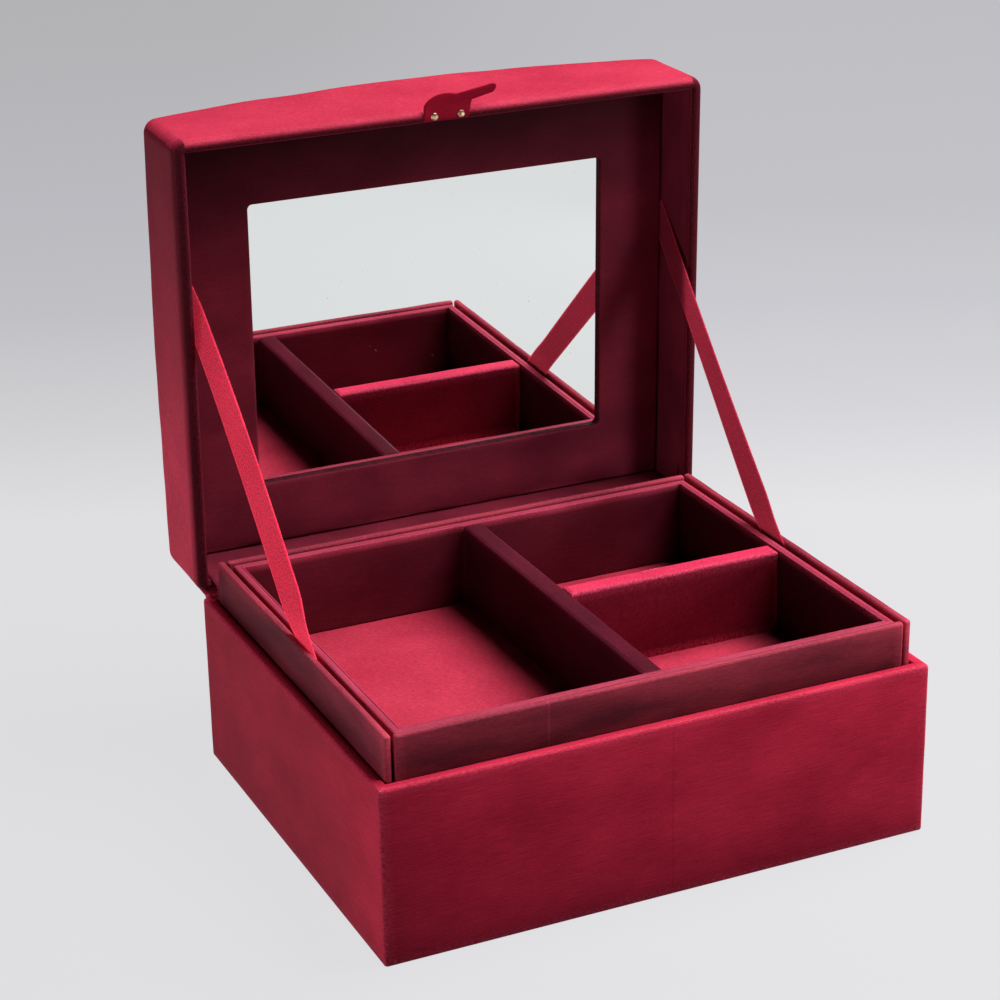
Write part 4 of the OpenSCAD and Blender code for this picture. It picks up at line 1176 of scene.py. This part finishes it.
# Floor: one pale plane; its colours run from near to far over the reach, in metres, on the left
# and on the right
stage = {
    "size": 6.0, "board": "#7e7d7f", "shown": 0.85, "reach": 1.2, "turn": 24.4,
    "from": -0.2, "to": 0.12,
    "left": [(0.2, "#eae9ec"), (0.3, "#dad9dc"), (0.43, "#cac9ce"), (0.6, "#c4c3c9"),
             (1, "#bebdc0")],
    "right": [(0.2, "#efeef1"), (0.3, "#dfdee3"), (0.43, "#d3d2d8"), (0.6, "#cbcacf"),
              (1, "#cac9ce")],
}


# Plain board to the light that bounces off it; seen directly or in the mirror it shows mostly the
# backdrop's colours, so shadows on it stay as faint as under a wide softbox
def paleFloor(tree, look):
    turned = addNode(tree, "Mapping", {
        "Vector": addNode(tree, "TexCoord").outputs["Object"],
        "Rotation": (0, 0, math.radians(look["turn"])), "Scale": (1 / look["reach"],) * 3})
    axes = addNode(tree, "SeparateXYZ", {0: turned})
    across = addNode(tree, "MapRange", {
        "Value": axes, "From Min": look["from"], "From Max": look["to"]},
        interpolation_type="SMOOTHSTEP")
    sides = [addNode(tree, "ValToRGB", {"Fac": axes.outputs["Y"]}, look[side]).outputs[0]
             for side in ("left", "right")]
    ray = addNode(tree, "LightPath")
    seen = addNode(tree, "Math", {
        0: ray.outputs["Is Camera Ray"], 1: ray.outputs["Is Glossy Ray"]}, operation="MAXIMUM")
    return addNode(tree, "MixShader", {
        0: addNode(tree, "Math", {0: seen, 1: look["shown"]}, operation="MULTIPLY"),
        1: addNode(tree, "BsdfDiffuse", {"Color": linear(look["board"])}),
        2: addNode(tree, "Emission", {"Color": mixColour(tree, across, *sides)})})


# Square plane, its corners at half its size from the middle
def makeFloor():
    half = stage["size"] / 2
    mesh = bpy.data.meshes.new("floor")
    mesh.from_pydata([(-half, -half, 0), (half, -half, 0), (half, half, 0), (-half, half, 0)],
                     [], [(0, 1, 2, 3)])
    mesh.materials.append(newMaterial("paleFloor", paleFloor, stage))
    addObject("floor", mesh)


makeFloor()


# Stands an object at a place, with its own x, y and z along three directions
def standAt(item, place, right, up, back):
    rows = [[right[k], up[k], back[k], place[k]] for k in range(3)]
    item.matrix_world = Matrix([*rows, [0, 0, 0, 1]])


# Square softboxes, in metres and watts: a wide key above right, low fills on the left and front
lamps = {
    "keyLamp": {"at": (0.65, -0.08, 1.3), "aim": (0, 0, 0.05), "size": 0.9, "power": 33.5},
    "leftFillLamp": {"at": (-0.55, -0.05, 0.14), "aim": (-0.09, 0, 0.06), "size": 0.2,
                     "power": 0.72},
    "rightFillLamp": {"at": (0.3, -0.3, 0.12), "aim": (0.08, -0.07, 0.03), "size": 0.12,
                      "power": 0.45},
}
for name, lamp in lamps.items():
    data = bpy.data.lights.new(name, "AREA")
    data.size, data.energy = lamp["size"], lamp["power"]
    back = np.array(lamp["at"], float) - np.array(lamp["aim"], float)
    back /= np.linalg.norm(back)
    right = np.cross([0, 1, 0], back)
    right /= np.linalg.norm(right)
    standAt(addObject(name, data), lamp["at"], right, np.cross(back, right), back)

surround = {"colour": "#f2f2f5", "strength": 0.015}
world = bpy.data.worlds.new("studio")
world.use_nodes = True
background = world.node_tree.nodes["Background"]
background.inputs[0].default_value = linear(surround["colour"])
background.inputs[1].default_value = surround["strength"]
bpy.context.scene.world = world

# Camera as fitted to the photograph: angles in degrees, lengths in metres, lens in millimetres
view = {
    "azimuth": -24.4337, "elevation": 21.6783, "roll": -1.146, "distance": 0.80768,
    "target": (-0.01755, 0.0, 0.10343), "lens": 95.79, "sensor": 36.0,
}


# It looks along forward from its distance, and the roll turns it about that line
def makeCamera():
    azimuth, elevation, roll = (math.radians(view[k]) for k in ("azimuth", "elevation", "roll"))
    forward = np.array([-math.sin(azimuth) * math.cos(elevation),
                        math.cos(azimuth) * math.cos(elevation), -math.sin(elevation)])
    right = np.array([math.cos(azimuth), math.sin(azimuth), 0])
    up = np.cross(right, forward)
    data = bpy.data.cameras.new("camera")
    data.lens, data.sensor_width = view["lens"], view["sensor"]
    camera = addObject("camera", data)
    standAt(camera, np.array(view["target"]) - forward * view["distance"],
            right * math.cos(roll) + up * math.sin(roll),
            -right * math.sin(roll) + up * math.cos(roll), -forward)
    bpy.context.scene.camera = camera


makeCamera()
bpy.context.scene.view_settings.view_transform = "Standard"
print("stage, lights and camera made")
